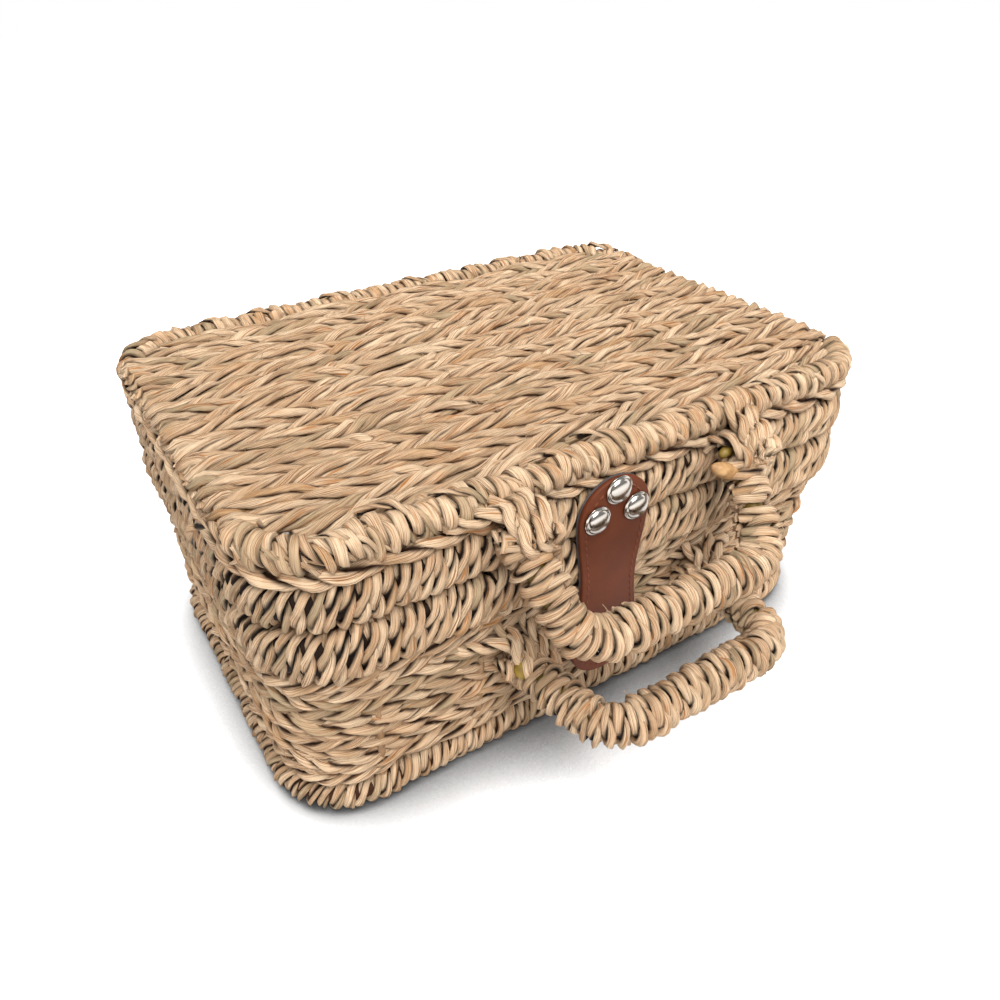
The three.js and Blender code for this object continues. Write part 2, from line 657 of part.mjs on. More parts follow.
add(strap, 'snap_socket', plug(SNAP_RADIUS, socketBack, socketFront, snapX, snapZ, 16), nickel);

// Snap half on the base: a leather patch, the stud through it and its burr inside
const patchBlank = plug(PATCH_RADIUS, wallMiddle, patchFront, snapX, snapZ, 16);
add(base, 'snap_patch', cut(patchBlank, [wallSolid(FIT_GAP), studRoom]), leather);
const stud = turnedPiece([
  [0, studBurrBack], [SNAP_POST_RADIUS, studBurrBack], [SNAP_POST_RADIUS, studBack],
  [SNAP_RADIUS, studBack], [SNAP_RADIUS, studFront], [0, studFront],
], snapX, snapZ, 16);
add(base, 'snap_stud', stud, nickel);
const studBurr = washer(RIVET_BURR_RADIUS, snapHole, studBurrBack, studBurrFront, snapX, snapZ);
add(base, 'snap_stud_burr', studBurr, nickel);

export default caseGroup;
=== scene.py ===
"""Looks of a small suitcase-shaped basket of twisted grass cord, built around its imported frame."""

import json
import logging
import math
import random
from dataclasses import asdict, dataclass, replace
from enum import Enum, IntEnum
from types import SimpleNamespace

import bmesh
import bpy
from mathutils import Matrix, Quaternion, Vector


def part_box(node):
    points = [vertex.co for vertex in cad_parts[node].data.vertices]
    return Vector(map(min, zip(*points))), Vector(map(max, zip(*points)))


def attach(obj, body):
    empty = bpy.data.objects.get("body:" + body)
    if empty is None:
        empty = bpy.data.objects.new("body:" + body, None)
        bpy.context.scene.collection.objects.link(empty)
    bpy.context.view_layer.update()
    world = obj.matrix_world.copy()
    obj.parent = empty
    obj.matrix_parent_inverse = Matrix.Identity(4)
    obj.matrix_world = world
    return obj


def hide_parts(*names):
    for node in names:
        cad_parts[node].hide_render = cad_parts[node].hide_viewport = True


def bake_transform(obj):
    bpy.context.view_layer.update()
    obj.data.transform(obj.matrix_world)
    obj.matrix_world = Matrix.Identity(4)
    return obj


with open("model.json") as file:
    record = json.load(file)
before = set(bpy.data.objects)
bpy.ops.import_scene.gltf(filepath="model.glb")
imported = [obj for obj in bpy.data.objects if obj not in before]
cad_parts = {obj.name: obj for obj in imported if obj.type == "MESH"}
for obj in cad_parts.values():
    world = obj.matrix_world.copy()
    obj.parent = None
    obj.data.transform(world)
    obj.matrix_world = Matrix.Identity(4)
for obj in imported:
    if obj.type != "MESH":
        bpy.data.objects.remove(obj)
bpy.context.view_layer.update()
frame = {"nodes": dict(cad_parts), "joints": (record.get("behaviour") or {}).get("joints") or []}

LOG = logging.getLogger("woven_case")
MM = 0.001
TURN = 2 * math.pi
RIM_RADIUS = 6 * MM

Colour = tuple[float, float, float, float]
Triple = tuple[float, float, float]
Points = list[Vector]
Profile = tuple[tuple[float, float], ...]
Socket = bpy.types.NodeSocket
Material = bpy.types.Material
Piece = bpy.types.Object


def srgb(red: int, green: int, blue: int) -> Colour:
    """Turn a written 0 to 255 colour into the linear one that shaders use.

    Args:
        red: Red share, 0 to 255.
        green: Green share, 0 to 255.
        blue: Blue share, 0 to 255.

    Returns:
        The linear colour with full alpha.
    """
    def linear(share: int) -> float:
        """One channel in linear light."""
        value = share / 255
        return value / 12.92 if value <= 0.04045 else ((value + 0.055) / 1.055) ** 2.4

    return linear(red), linear(green), linear(blue), 1.0


class Body(Enum):
    """The rigid bodies of the frame."""

    BASE = "base"
    LID = "lid"
    LID_HANDLE = "lid_handle"
    BASE_HANDLE = "base_handle"
    STRAP = "strap"


class Slot(Enum):
    """The record's material slots."""

    SEAGRASS = "seagrass"
    CANE = "cane"
    LEATHER = "leather"
    NICKEL = "nickel"


class Seed(IntEnum):
    """Seeds of the trees' random draws."""

    CORD_START = 3
    WRAP_TILT = 5
    WRAP_SIZE = 6
    CORD_HAND = 7
    FIBRE_PLACE = 8
    FIBRE_TURN = 9
    FIBRE_SIZE = 10
    CORD_TINT = 11
    WRAP_TINT = 21
    WRAP_START = 29
    FIBRE_TINT = 31


@dataclass(frozen=True)
class StrandForm:
    """A grass strand's ridged section, how it rolls and swells along its path, and its chance turn."""

    flatness: float
    ridges: int
    groove: float
    roll: float
    slack: float
    swell: float
    thinnest: float
    swell_scale: float = 150.0


CORD_PLY = StrandForm(0.8, 4, 0.82, roll=-120.0, slack=0.6, swell=0.9, thinnest=0.55)
WRAP_PLY = StrandForm(0.75, 3, 0.8, roll=60.0, slack=0.8, swell=1.0, thinnest=0.5)


@dataclass(frozen=True)
class CordSizes:
    """Sizes of a twisted cord. A negative twist length turns the other way."""

    ply_radius: float
    ply_offset: float
    twist_length: float
    plies: int = 2
    step: float = 1.8 * MM
    upright_share: float = 1.0
    waver: float = 1.3 * MM
    reversed_share: float = 0.0


@dataclass(frozen=True)
class WrapSizes:
    """Sizes of the two-ply cord in wrapped loops. The filling is the core inside the loops, painted dark
    as the shade between them.
    """

    advance: float
    unrest: float
    ply_radius: float
    ply_offset: float
    twist_length: float = 24 * MM
    filling_share: float = 0.86


@dataclass(frozen=True)
class Loop:
    """The outline that a wrapped cord's middle follows round its core."""

    width: float
    height: float
    corner: float

    @classmethod
    def round(cls, across: float) -> "Loop":
        """A round loop."""
        return cls(across, across, across / 2)


def input_name(key: str) -> str:
    """The name of a tree's input: underscores turn into spaces."""
    return key.replace("_", " ").capitalize()


class Graph:
    """A node graph that is filled node by node: a shader or a Geometry Nodes tree."""

    def __init__(self, tree: bpy.types.NodeTree) -> None:
        """Keep the tree that the nodes go into."""
        self.tree = tree

    def feed(self, node: bpy.types.Node, feeds: dict[str, object]) -> None:
        """Link or set a node's inputs.

        Args:
            node: The node.
            feeds: Input identifier to a socket to link or a value to set.
        """
        for identifier, value in feeds.items():
            socket = next(item for item in node.inputs if item.identifier == identifier)
            if isinstance(value, Socket):
                self.tree.links.new(value, socket)
            else:
                socket.default_value = value

    def add(self, kind: str, feeds: dict[str, object] | None = None, **settings: object) -> bpy.types.Node:
        """Add a node, set its options, and feed its inputs.

        Args:
            kind: The node's type name.
            feeds: Input identifier to a socket to link or a value to set.
            settings: Options of the node.

        Returns:
            The new node.
        """
        node = self.tree.nodes.new(kind)
        for key, value in settings.items():
            setattr(node, key, value)
        self.feed(node, feeds or {})
        return node

    def get(self, kind: str, feeds: dict[str, object] | None = None, **settings: object) -> Socket:
        """Add a node in the same way, and return its first output."""
        return self.add(kind, feeds, **settings).outputs[0]

    def math(self, operation: str, first: object, second: object = 0.0) -> Socket:
        """Add a Math node on two sockets or numbers."""
        return self.get("ShaderNodeMath", {"Value": first, "Value_001": second}, operation=operation)

    def line(self, value: object, slope: object, start: object) -> Socket:
        """A value times a slope, plus a start."""
        return self.math("ADD", self.math("MULTIPLY", value, slope), start)

    def vector(self, operation: str, first: object, second: object = (0, 0, 0)) -> Socket:
        """Add a Vector Math node on two sockets or vectors."""
        feeds = {"Vector": first, "Vector_001": second}
        return self.get("ShaderNodeVectorMath", feeds, operation=operation)

    def scaled(self, direction: object, length: object) -> Socket:
        """Scale a vector socket by a number or number socket."""
        return self.get("ShaderNodeVectorMath", {"Vector": direction, "Scale": length}, operation="SCALE")

    def dot(self, first: object, second: object) -> Socket:
        """The dot product of two sockets or vectors."""
        feeds = {"Vector": first, "Vector_001": second}
        return self.add("ShaderNodeVectorMath", feeds, operation="DOT_PRODUCT").outputs["Value"]

    def ranged(self, value: object, low: float, high: float, to: tuple[float, float] = (0.0, 1.0),
               **settings: object) -> Socket:
        """Map a value from one range to another.

        Args:
            value: The value's socket.
            low: Value where the range starts.
            high: Value where it ends.
            to: What these two turn into.
            settings: Options of the node.

        Returns:
            The mapped value's socket.
        """
        feeds = {"Value": value, "From Min": low, "From Max": high, "To Min": to[0], "To Max": to[1]}
        return self.get("ShaderNodeMapRange", feeds, **settings)


class GeometryTree(Graph):
    """A Geometry Nodes tree with named inputs that ends in one finished mesh."""

    def __init__(self, name: str) -> None:
        """Start a tree with a geometry in and out.

        Args:
            name: The tree's name.
        """
        super().__init__(bpy.data.node_groups.new(name, "GeometryNodeTree"))
        face = self.tree.interface
        face.new_socket("Geometry", in_out="OUTPUT", socket_type="NodeSocketGeometry")
        face.new_socket("Geometry", in_out="INPUT", socket_type="NodeSocketGeometry")
        self.entry = self.tree.nodes.new("NodeGroupInput")
        self.identifiers: dict[str, str] = {}

    @property
    def source(self) -> Socket:
        """The geometry that the modifier is given."""
        return self.entry.outputs["Geometry"]

    def inputs(self, **defaults: float | Triple | str) -> SimpleNamespace:
        """Args:
            defaults: Default value of each input, or its kind if it has none, by its plain name.

        Returns:
            The sockets to read them from, by the same names, and material.
        """
        defaults["material"] = "Material"
        for key, default in defaults.items():
            kind = "Vector" if isinstance(default, tuple) else "Float"
            kind = default if isinstance(default, str) else kind
            name = input_name(key)
            item = self.tree.interface.new_socket(name, in_out="INPUT", socket_type="NodeSocket" + kind)
            if not isinstance(default, str):
                item.default_value = default
            self.identifiers[name] = item.identifier
        return SimpleNamespace(**{key: self.entry.outputs[input_name(key)] for key in defaults})

    def remember(self, geometry: object, name: str, value: object, kind: str = "FLOAT") -> Socket:
        """Store a value on each point under a name that materials can read.

        Args:
            geometry: The geometry's socket.
            name: The attribute's name.
            value: The value's socket, or a number.
            kind: The attribute's data type.

        Returns:
            The geometry with the attribute.
        """
        feeds = {"Geometry": geometry, "Name": name, "Value": value}
        return self.get("GeometryNodeStoreNamedAttribute", feeds, data_type=kind, domain="POINT")

    def recall(self, name: str) -> Socket:
        """Read a vector that was stored under a name."""
        node = self.add("GeometryNodeInputNamedAttribute", {"Name": name}, data_type="FLOAT_VECTOR")
        return node.outputs["Attribute"]

    def position(self) -> Socket:
        """The points' own places."""
        return self.get("GeometryNodeInputPosition")

    def along(self) -> Socket:
        """The points' distances from the start of their curve."""
        return self.add("GeometryNodeSplineParameter").outputs["Length"]

    def chance(self, low: float, high: float, seed: int, **identity: Socket) -> Socket:
        """A random number for each point, or for each identity.

        Args:
            low: Least value.
            high: Greatest value.
            seed: Seed of the draw.
            identity: ID, a socket that is the same for all points that share a draw.

        Returns:
            The number's socket.
        """
        feeds = {"Min_001": low, "Max_001": high, "Seed": seed, **identity}
        node = self.add("FunctionNodeRandomValue", feeds, data_type="FLOAT")
        return next(item for item in node.outputs if item.identifier == "Value_001")

    def strand_chance(self, low: float, high: float, seed: int) -> Socket:
        """A random number that is the same all along one strand.

        Args:
            low: Least value.
            high: Greatest value.
            seed: Seed of the draw.

        Returns:
            The number's socket.
        """
        whole = self.add("GeometryNodeFieldOnDomain", domain="CURVE", data_type="INT")
        self.tree.links.new(self.get("GeometryNodeInputIndex"), whole.inputs[0])
        return self.chance(low, high, seed, ID=whole.outputs[0])

    def scatter(self, low: Triple, high: Triple, seed: int) -> Socket:
        """A random vector for each point, between two corners."""
        feeds = {"Min": low, "Max": high, "Seed": seed}
        return self.get("FunctionNodeRandomValue", feeds, data_type="FLOAT_VECTOR")

    def noise(self, scale: float) -> bpy.types.Node:
        """Add a noise texture on the points' places."""
        return self.add("ShaderNodeTexNoise", {"Scale": scale, "Detail": 1.0}, noise_dimensions="3D")

    def wobble(self, scale: float, reach: object) -> Socket:
        """A soft shift that changes from place to place.

        Args:
            scale: Scale of the noise that makes it.
            reach: How far it goes from one side to the other.

        Returns:
            The shift's socket.
        """
        noise = self.noise(scale).outputs["Color"]
        return self.scaled(self.vector("SUBTRACT", noise, (0.5, 0.5, 0.5)), reach)

    def shifted(self, geometry: object, offset: object) -> Socket:
        """Move each point by an offset."""
        return self.get("GeometryNodeSetPosition", {"Geometry": geometry, "Offset": offset})

    def turned(self, axis: str, direction: object, upward: object) -> Socket:
        """A rotation that lays an axis along a direction, with Y upward as far as it can be."""
        feeds = {"Primary Axis": direction, "Secondary Axis": upward}
        return self.get("FunctionNodeAxesToRotation", feeds, primary_axis=axis, secondary_axis="Y")

    def lay_turn(self, pitch: object) -> Socket:
        """The angle that a twisted cord has turned through at each point."""
        return self.math("DIVIDE", self.math("MULTIPLY", self.along(), TURN), pitch)

    def profile(self, radius: object, flatness: float, ridges: int, groove: float) -> Socket:
        """Make a strand's ridged section, with its outward direction stored as ring.

        Args:
            radius: Half the strand's width.
            flatness: Its thickness as a share of its width.
            ridges: Ridges round it.
            groove: Radius of the grooves as a share of the ridges' radius.

        Returns:
            The section's curve.
        """
        inner = self.math("MULTIPLY", radius, groove)
        feeds = {"Points": ridges, "Outer Radius": radius, "Inner Radius": inner}
        star = self.get("GeometryNodeCurveStar", feeds)
        marked = self.remember(star, "ring", self.vector("NORMALIZE", self.position()), "FLOAT_VECTOR")
        scale = self.get("ShaderNodeCombineXYZ", {"X": 1.0, "Y": flatness, "Z": 1.0})
        return self.get("GeometryNodeTransform", {"Geometry": marked, "Scale": scale})

    def skin(self, strand: object, radius: object, form: StrandForm, seed: int) -> Socket:
        """Give strands their skin, and store how far each point of it faces out of the work.

        Args:
            strand: Curves with their way out of the work stored as outward.
            radius: Half the strands' width.
            form: The strands' section and the way that they lie.
            seed: Seed of the strands' tints. The next one turns the strands.

        Returns:
            The mesh, with along, tint, ring and open stored for the material.
        """
        along = self.along()
        strand = self.remember(strand, "along", along)
        strand = self.remember(strand, "tint", self.strand_chance(0.0, 1.0, seed))
        strand = self.remember(strand, "middle", self.position(), "FLOAT_VECTOR")
        turn = self.line(along, form.roll, self.strand_chance(-form.slack, form.slack, seed + 1))
        strand = self.get("GeometryNodeSetCurveTilt", {"Curve": strand, "Tilt": turn})
        swell = self.line(self.noise(form.swell_scale).outputs["Fac"], form.swell, form.thinnest)
        section = self.profile(radius, form.flatness, form.ridges, form.groove)
        feeds = {"Curve": strand, "Profile Curve": section, "Scale": swell, "Fill Caps": True}
        mesh = self.get("GeometryNodeCurveToMesh", feeds)
        # open: how far the skin faces out of the work; the grass material paints crevice shade where it is
        # low.
        side = self.vector("NORMALIZE", self.vector("SUBTRACT", self.position(), self.recall("middle")))
        mesh = self.remember(mesh, "open", self.dot(side, self.recall("outward")))
        for name in ("middle", "outward"):
            mesh = self.get("GeometryNodeRemoveAttribute", {"Geometry": mesh, "Name": name})
        return mesh

    def close(self, geometry: object, material: object) -> None:
        """End the tree: smooth, realize, set the material and hand out the mesh.

        Args:
            geometry: The finished mesh's socket.
            material: The material's socket.
        """
        smooth = self.get("GeometryNodeSetShadeSmooth", {"Geometry": geometry})
        real = self.get("GeometryNodeRealizeInstances", {"Geometry": smooth})
        dressed = self.get("GeometryNodeSetMaterial", {"Geometry": real, "Material": material})
        self.tree.links.new(dressed, self.add("NodeGroupOutput").inputs[0])

    def grow(self, name: str, source: bpy.types.ID, sizes: dict[str, object]) -> Piece:
        """Run the tree on a curve or mesh and keep the result as a plain mesh object.

        Args:
            name: The piece's name.
            source: The curve or mesh data that the tree reads.
            sizes: Values of the tree's named inputs.

        Returns:
            The finished object, at the origin and without modifiers.
        """
        helper = bpy.data.objects.new(name + "_source", source)
        bpy.context.scene.collection.objects.link(helper)
        modifier = helper.modifiers.new("grow", "NODES")
        modifier.node_group = self.tree
        for key, value in sizes.items():
            modifier[self.identifiers[key]] = value
        graph = bpy.context.evaluated_depsgraph_get()
        graph.update()
        evaluated = helper.evaluated_get(graph)
        mesh = bpy.data.meshes.new_from_object(evaluated, preserve_all_data_layers=True, depsgraph=graph)
        helper.modifiers.remove(modifier)
        bpy.data.objects.remove(helper)
        mesh.name = name
        return link_mesh(name, mesh)


def link_mesh(name: str, mesh: bpy.types.Mesh) -> Piece:
    """Put a finished mesh into the scene at the origin.

    Args:
        name: The piece's name.
        mesh: Its mesh.

    Returns:
        The piece.
    """
    piece = bpy.data.objects.new(name, mesh)
    bpy.context.scene.collection.objects.link(piece)
    return piece


def smooth_piece(name: str, shape: bmesh.types.BMesh, sharp: float | None = None) -> Piece:
    """Make a smooth piece of a finished shape, which is freed.

    Args:
        name: The piece's name.
        shape: Its shape.
        sharp: The angle from which edges stay sharp, in degrees, or None for no sharp edge.

    Returns:
        The piece, at the origin.
    """
    mesh = bpy.data.meshes.new(name)
    shape.to_mesh(mesh)
    shape.free()
    mesh.shade_smooth()
    if sharp is not None:
        mesh.set_sharp_from_angle(angle=math.radians(sharp))
    return link_mesh(name, mesh)


def curve_data(name: str, strands: list[Points], closed: bool = False) -> bpy.types.Curve:
    """Make curve data with one poly spline for each strand.

    Args:
        name: The curve's name.
        strands: Each strand's points.
        closed: Whether each strand ends where it starts.

    Returns:
        The curve data.
    """
    curve = bpy.data.curves.new(name, "CURVE")
    curve.dimensions = "3D"
    for strand in strands:
        spline = curve.splines.new("POLY")
        spline.points.add(len(strand) - 1)
        for point, place in zip(spline.points, strand):
            point.co = (*place, 1.0)
        spline.use_cyclic_u = closed
    return curve


def twisted_cord_tree(plies: int) -> GeometryTree:
    """Build the tree that lays plies round each strand of a curve.

    Args:
        plies: How many plies the cord has.

    Returns:
        The tree, with the cord's sizes as named inputs.
    """
    drift_scale, uneven_scale, uneven_turn = 70.0, 35.0, 5.0
    tree = GeometryTree(f"twisted_cord_{plies}_ply")
    size = tree.inputs(step=1.8 * MM, ply_radius=2.0 * MM, ply_offset=1.7 * MM, twist_length=16 * MM,
                       upright_share=1.0, waver=1.3 * MM, reversed_share=0.0)
    feeds = {"Curve": tree.source, "Length": size.step}
    path = tree.get("GeometryNodeResampleCurve", feeds, mode="LENGTH")
    path = tree.get("GeometryNodeSetCurveNormal", {"Curve": path}, mode="Z_UP")
    sideways = tree.get("GeometryNodeInputNormal")
    upright = tree.vector("CROSS_PRODUCT", tree.get("GeometryNodeInputTangent"), sideways)
    drift = tree.wobble(drift_scale, size.waver)
    uneven = tree.math("MULTIPLY", tree.noise(uneven_scale).outputs["Fac"], uneven_turn)
    turn = tree.math("ADD", tree.lay_turn(size.twist_length), uneven)
    turn = tree.math("ADD", turn, tree.strand_chance(0.0, TURN, Seed.CORD_START))
    other = tree.math("LESS_THAN", tree.strand_chance(0.0, 1.0, Seed.CORD_HAND), size.reversed_share)
    turn = tree.math("MULTIPLY", turn, tree.math("SUBTRACT", 1.0, tree.math("MULTIPLY", other, 2.0)))
    join = tree.add("GeometryNodeJoinGeometry")
    for ply in range(plies):
        angle = tree.math("ADD", turn, ply * TURN / plies)
        side = tree.scaled(sideways, tree.math("COSINE", angle))
        rise = tree.scaled(upright, tree.math("MULTIPLY", tree.math("SINE", angle), size.upright_share))
        outward = tree.vector("ADD", side, rise)
        strand = tree.remember(path, "outward", tree.vector("NORMALIZE", outward), "FLOAT_VECTOR")
        strand = tree.shifted(strand, tree.vector("ADD", tree.scaled(outward, size.ply_offset), drift))
        mesh = tree.skin(strand, size.ply_radius, CORD_PLY, Seed.CORD_TINT + 2 * ply)
        tree.tree.links.new(mesh, join.inputs["Geometry"])
    tree.close(join.outputs["Geometry"], size.material)
    return tree


def wrapping_tree() -> GeometryTree:
    """Build the tree that wraps a loop of two-ply cord round a core at each point of a curve.

    Returns:
        The tree, with the loop's and the cord's sizes as named inputs.
    """
    corner_points, loop_points, cut = 5, 26, 0.001
    tilt_shares, drift_scale, bareness = (1.0, 0.6, 0.3), 110.0, 0.6
    tree = GeometryTree("wrapping")
    size = tree.inputs(loop_width=11 * MM, loop_height=18 * MM, loop_corner=4 * MM, advance=12 * MM,
                       unrest=0.12, ply_radius=1.5 * MM, ply_offset=1.1 * MM, twist_length=24 * MM,
                       waver=1.2 * MM, upward=(0.0, 0.0, 1.0), filling_share=0.86)
    dots = tree.add("GeometryNodeCurveToPoints", {"Curve": tree.source}, mode="EVALUATED")
    tangent = dots.outputs["Tangent"]
    points = tree.remember(dots.outputs["Points"], "across", tangent, "FLOAT_VECTOR")
    points = tree.remember(points, "centre", tree.position(), "FLOAT_VECTOR")
    chance = tree.scatter((-1, -1, -1), (1, 1, 1), Seed.WRAP_TILT)
    tilt = tree.scaled(tree.vector("MULTIPLY", chance, tilt_shares), size.unrest)
    tilt = tree.get("FunctionNodeEulerToRotation", {"Euler": tilt})
    feeds = {"Rotation": tree.turned("Z", tangent, size.upward), "Rotate By": tilt}
    turned = tree.get("FunctionNodeRotateRotation", feeds, rotation_space="LOCAL")
    feeds = {"Width": size.loop_width, "Height": size.loop_height}
    outline = tree.get("GeometryNodeCurvePrimitiveQuadrilateral", feeds, mode="RECTANGLE")
    feeds = {"Curve": outline, "Count": corner_points, "Radius": size.loop_corner, "Limit Radius": True}
    outline = tree.get("GeometryNodeFilletCurve", feeds, mode="POLY")
    feeds = {"Curve": outline, "Start": cut, "End": 1.0 - cut}
    loop = tree.get("GeometryNodeTrimCurve", feeds, mode="FACTOR")
    loop = tree.get("GeometryNodeResampleCurve", {"Curve": loop, "Count": loop_points}, mode="COUNT")
    share = tree.math("SUBTRACT", tree.get("GeometryNodeSplineParameter"), 0.5)
    climb = tree.get("ShaderNodeCombineXYZ", {"Z": tree.math("MULTIPLY", share, size.advance)})
    loop = tree.shifted(loop, climb)
    scale = tree.scatter((0.94, 0.97, 1), (1.08, 1.04, 1), Seed.WRAP_SIZE)
    feeds = {"Points": points, "Instance": loop, "Rotation": turned, "Scale": scale}
    loops = tree.get("GeometryNodeInstanceOnPoints", feeds)
    loops = tree.get("GeometryNodeRealizeInstances", {"Geometry": loops})
    loops = tree.shifted(loops, tree.wobble(drift_scale, size.waver))
    across = tree.recall("across")
    loops = tree.get("GeometryNodeSetCurveNormal", {"Curve": loops, "Normal": across}, mode="FREE")
    outward = tree.vector("CROSS_PRODUCT", across, tree.get("GeometryNodeInputTangent"))
    away = tree.vector("SUBTRACT", tree.position(), tree.recall("centre"))
    outward = tree.scaled(outward, tree.math("SIGN", tree.dot(outward, away)))
    loops = tree.remember(loops, "outward", outward, "FLOAT_VECTOR")
    start = tree.strand_chance(0.0, TURN, Seed.WRAP_START)
    turn = tree.math("ADD", tree.lay_turn(size.twist_length), start)
    join = tree.add("GeometryNodeJoinGeometry")
    for ply in range(2):
        angle = tree.math("ADD", turn, ply * math.pi)
        rise = tree.scaled(tree.recall("outward"), tree.math("SINE", angle))
        apart = tree.vector("ADD", tree.scaled(across, tree.math("COSINE", angle)), rise)
        strand = tree.shifted(loops, tree.scaled(apart, size.ply_offset))
        # Bareness leans the stored open direction outwards, which makes the painted crevice shade on the
        # plies lighter.
        bare = tree.vector("ADD", apart, tree.scaled(tree.recall("outward"), bareness))
        strand = tree.remember(strand, "outward", tree.vector("NORMALIZE", bare), "FLOAT_VECTOR")
        mesh = tree.skin(strand, size.ply_radius, WRAP_PLY, Seed.WRAP_TINT + 2 * ply)
        tree.tree.links.new(mesh, join.inputs["Geometry"])
    inner = tree.get("ShaderNodeCombineXYZ", {"X": size.filling_share, "Y": size.filling_share, "Z": 1.0})
    inside = tree.get("GeometryNodeTransform", {"Geometry": outline, "Scale": inner})
    path = tree.get("GeometryNodeSetCurveNormal", {"Curve": tree.source}, mode="Z_UP")
    feeds = {"Curve": path, "Profile Curve": inside, "Fill Caps": True}
    core = tree.get("GeometryNodeCurveToMesh", feeds)
    # The core is the real bundle inside the wraps, but it gets open -1, so the material paints it wholly
    # in the dark crevice shade that shows between them.
    tree.tree.links.new(tree.remember(core, "open", -1.0), join.inputs["Geometry"])
    tree.close(join.outputs["Geometry"], size.material)
    return tree


def rod_tree() -> GeometryTree:
    """Build the tree that makes a smooth round rod along a curve.

    Returns:
        The tree, with the rod's radius as a named input.
    """
    tree = GeometryTree("rod")
    size = tree.inputs(step=2 * MM, radius=3.8 * MM)
    feeds = {"Curve": tree.source, "Length": size.step}
    path = tree.get("GeometryNodeResampleCurve", feeds, mode="LENGTH")
    section = tree.profile(size.radius, flatness=1.0, ridges=8, groove=1.0)
    feeds = {"Curve": path, "Profile Curve": section, "Fill Caps": True}
    tree.close(tree.get("GeometryNodeCurveToMesh", feeds), size.material)
    return tree


def stitch_tree() -> GeometryTree:
    """Build the tree that sets stitches along a curve on a flat front.

    Returns:
        The tree, with the stitches' sizes as named inputs.
    """
    tree = GeometryTree("stitches")
    size = tree.inputs(spacing=3.2 * MM, half_length=1.2 * MM, half_thickness=0.4 * MM)
    feeds = {"Curve": tree.source, "Length": size.spacing}
    dots = tree.add("GeometryNodeCurveToPoints", feeds, mode="LENGTH")
    turned = tree.turned("X", dots.outputs["Tangent"], (0.0, 1.0, 0.0))
    bead = tree.get("GeometryNodeMeshUVSphere", {"Segments": 6, "Rings": 6, "Radius": 1.0})
    feeds = {"X": size.half_length, "Y": size.half_thickness, "Z": size.half_thickness}
    shape = tree.get("ShaderNodeCombineXYZ", feeds)
    feeds = {"Points": dots.outputs["Points"], "Instance": bead, "Rotation": turned, "Scale": shape}
    tree.close(tree.get("GeometryNodeInstanceOnPoints", feeds), size.material)
    return tree


def placing_tree() -> GeometryTree:
    """Build the tree that puts a copy of a turned piece at each point of a mesh.

    Returns:
        The tree, with the piece as a named input.
    """
    tree = GeometryTree("placing")
    size = tree.inputs(piece="Object")
    copy = tree.add("GeometryNodeObjectInfo", {"Object": size.piece, "As Instance": True})
    feeds = {"Points": tree.source, "Instance": copy.outputs["Geometry"]}
    tree.close(tree.get("GeometryNodeInstanceOnPoints", feeds), size.material)
    return tree


def stray_tree() -> GeometryTree:
    """Build the tree that lets thin loose fibres stand off along curves.

    Returns:
        The tree, with the fibres' sizes as named inputs.
    """
    tree = GeometryTree("stray_fibres")
    size = tree.inputs(spacing=9 * MM, length=9 * MM, radius=0.16 * MM, spread=4 * MM)
    feeds = {"Curve": tree.source, "Length": size.spacing}
    points = tree.get("GeometryNodeCurveToPoints", feeds, mode="LENGTH")
    chance = tree.scatter((-1, -1, -1), (1, 1, 1), Seed.FIBRE_PLACE)
    points = tree.shifted(points, tree.scaled(chance, size.spread))
    turn = tree.scatter((-3, -3, -3), (3, 3, 3), Seed.FIBRE_TURN)
    turn = tree.get("FunctionNodeEulerToRotation", {"Euler": turn})
    scale = tree.math("MULTIPLY", tree.chance(0.4, 1.3, Seed.FIBRE_SIZE), size.length)
    feeds = {"Resolution": 5, "Start": (0, 0, 0), "Middle": (0.5, 0.25, 0.0), "End": (0.9, 0.1, 0.35)}
    arc = tree.get("GeometryNodeCurveQuadraticBezier", feeds)
    feeds = {"Points": points, "Instance": arc, "Rotation": turn, "Scale": scale}
    fibres = tree.get("GeometryNodeInstanceOnPoints", feeds)
    fibres = tree.get("GeometryNodeRealizeInstances", {"Geometry": fibres})
    fibres = tree.remember(fibres, "tint", tree.strand_chance(0.2, 0.8, Seed.FIBRE_TINT))
    section = tree.profile(size.radius, flatness=1.0, ridges=2, groove=0.8)
    mesh = tree.get("GeometryNodeCurveToMesh", {"Curve": fibres, "Profile Curve": section})
    tree.close(tree.remember(mesh, "open", 1.0), size.material)
    return tree


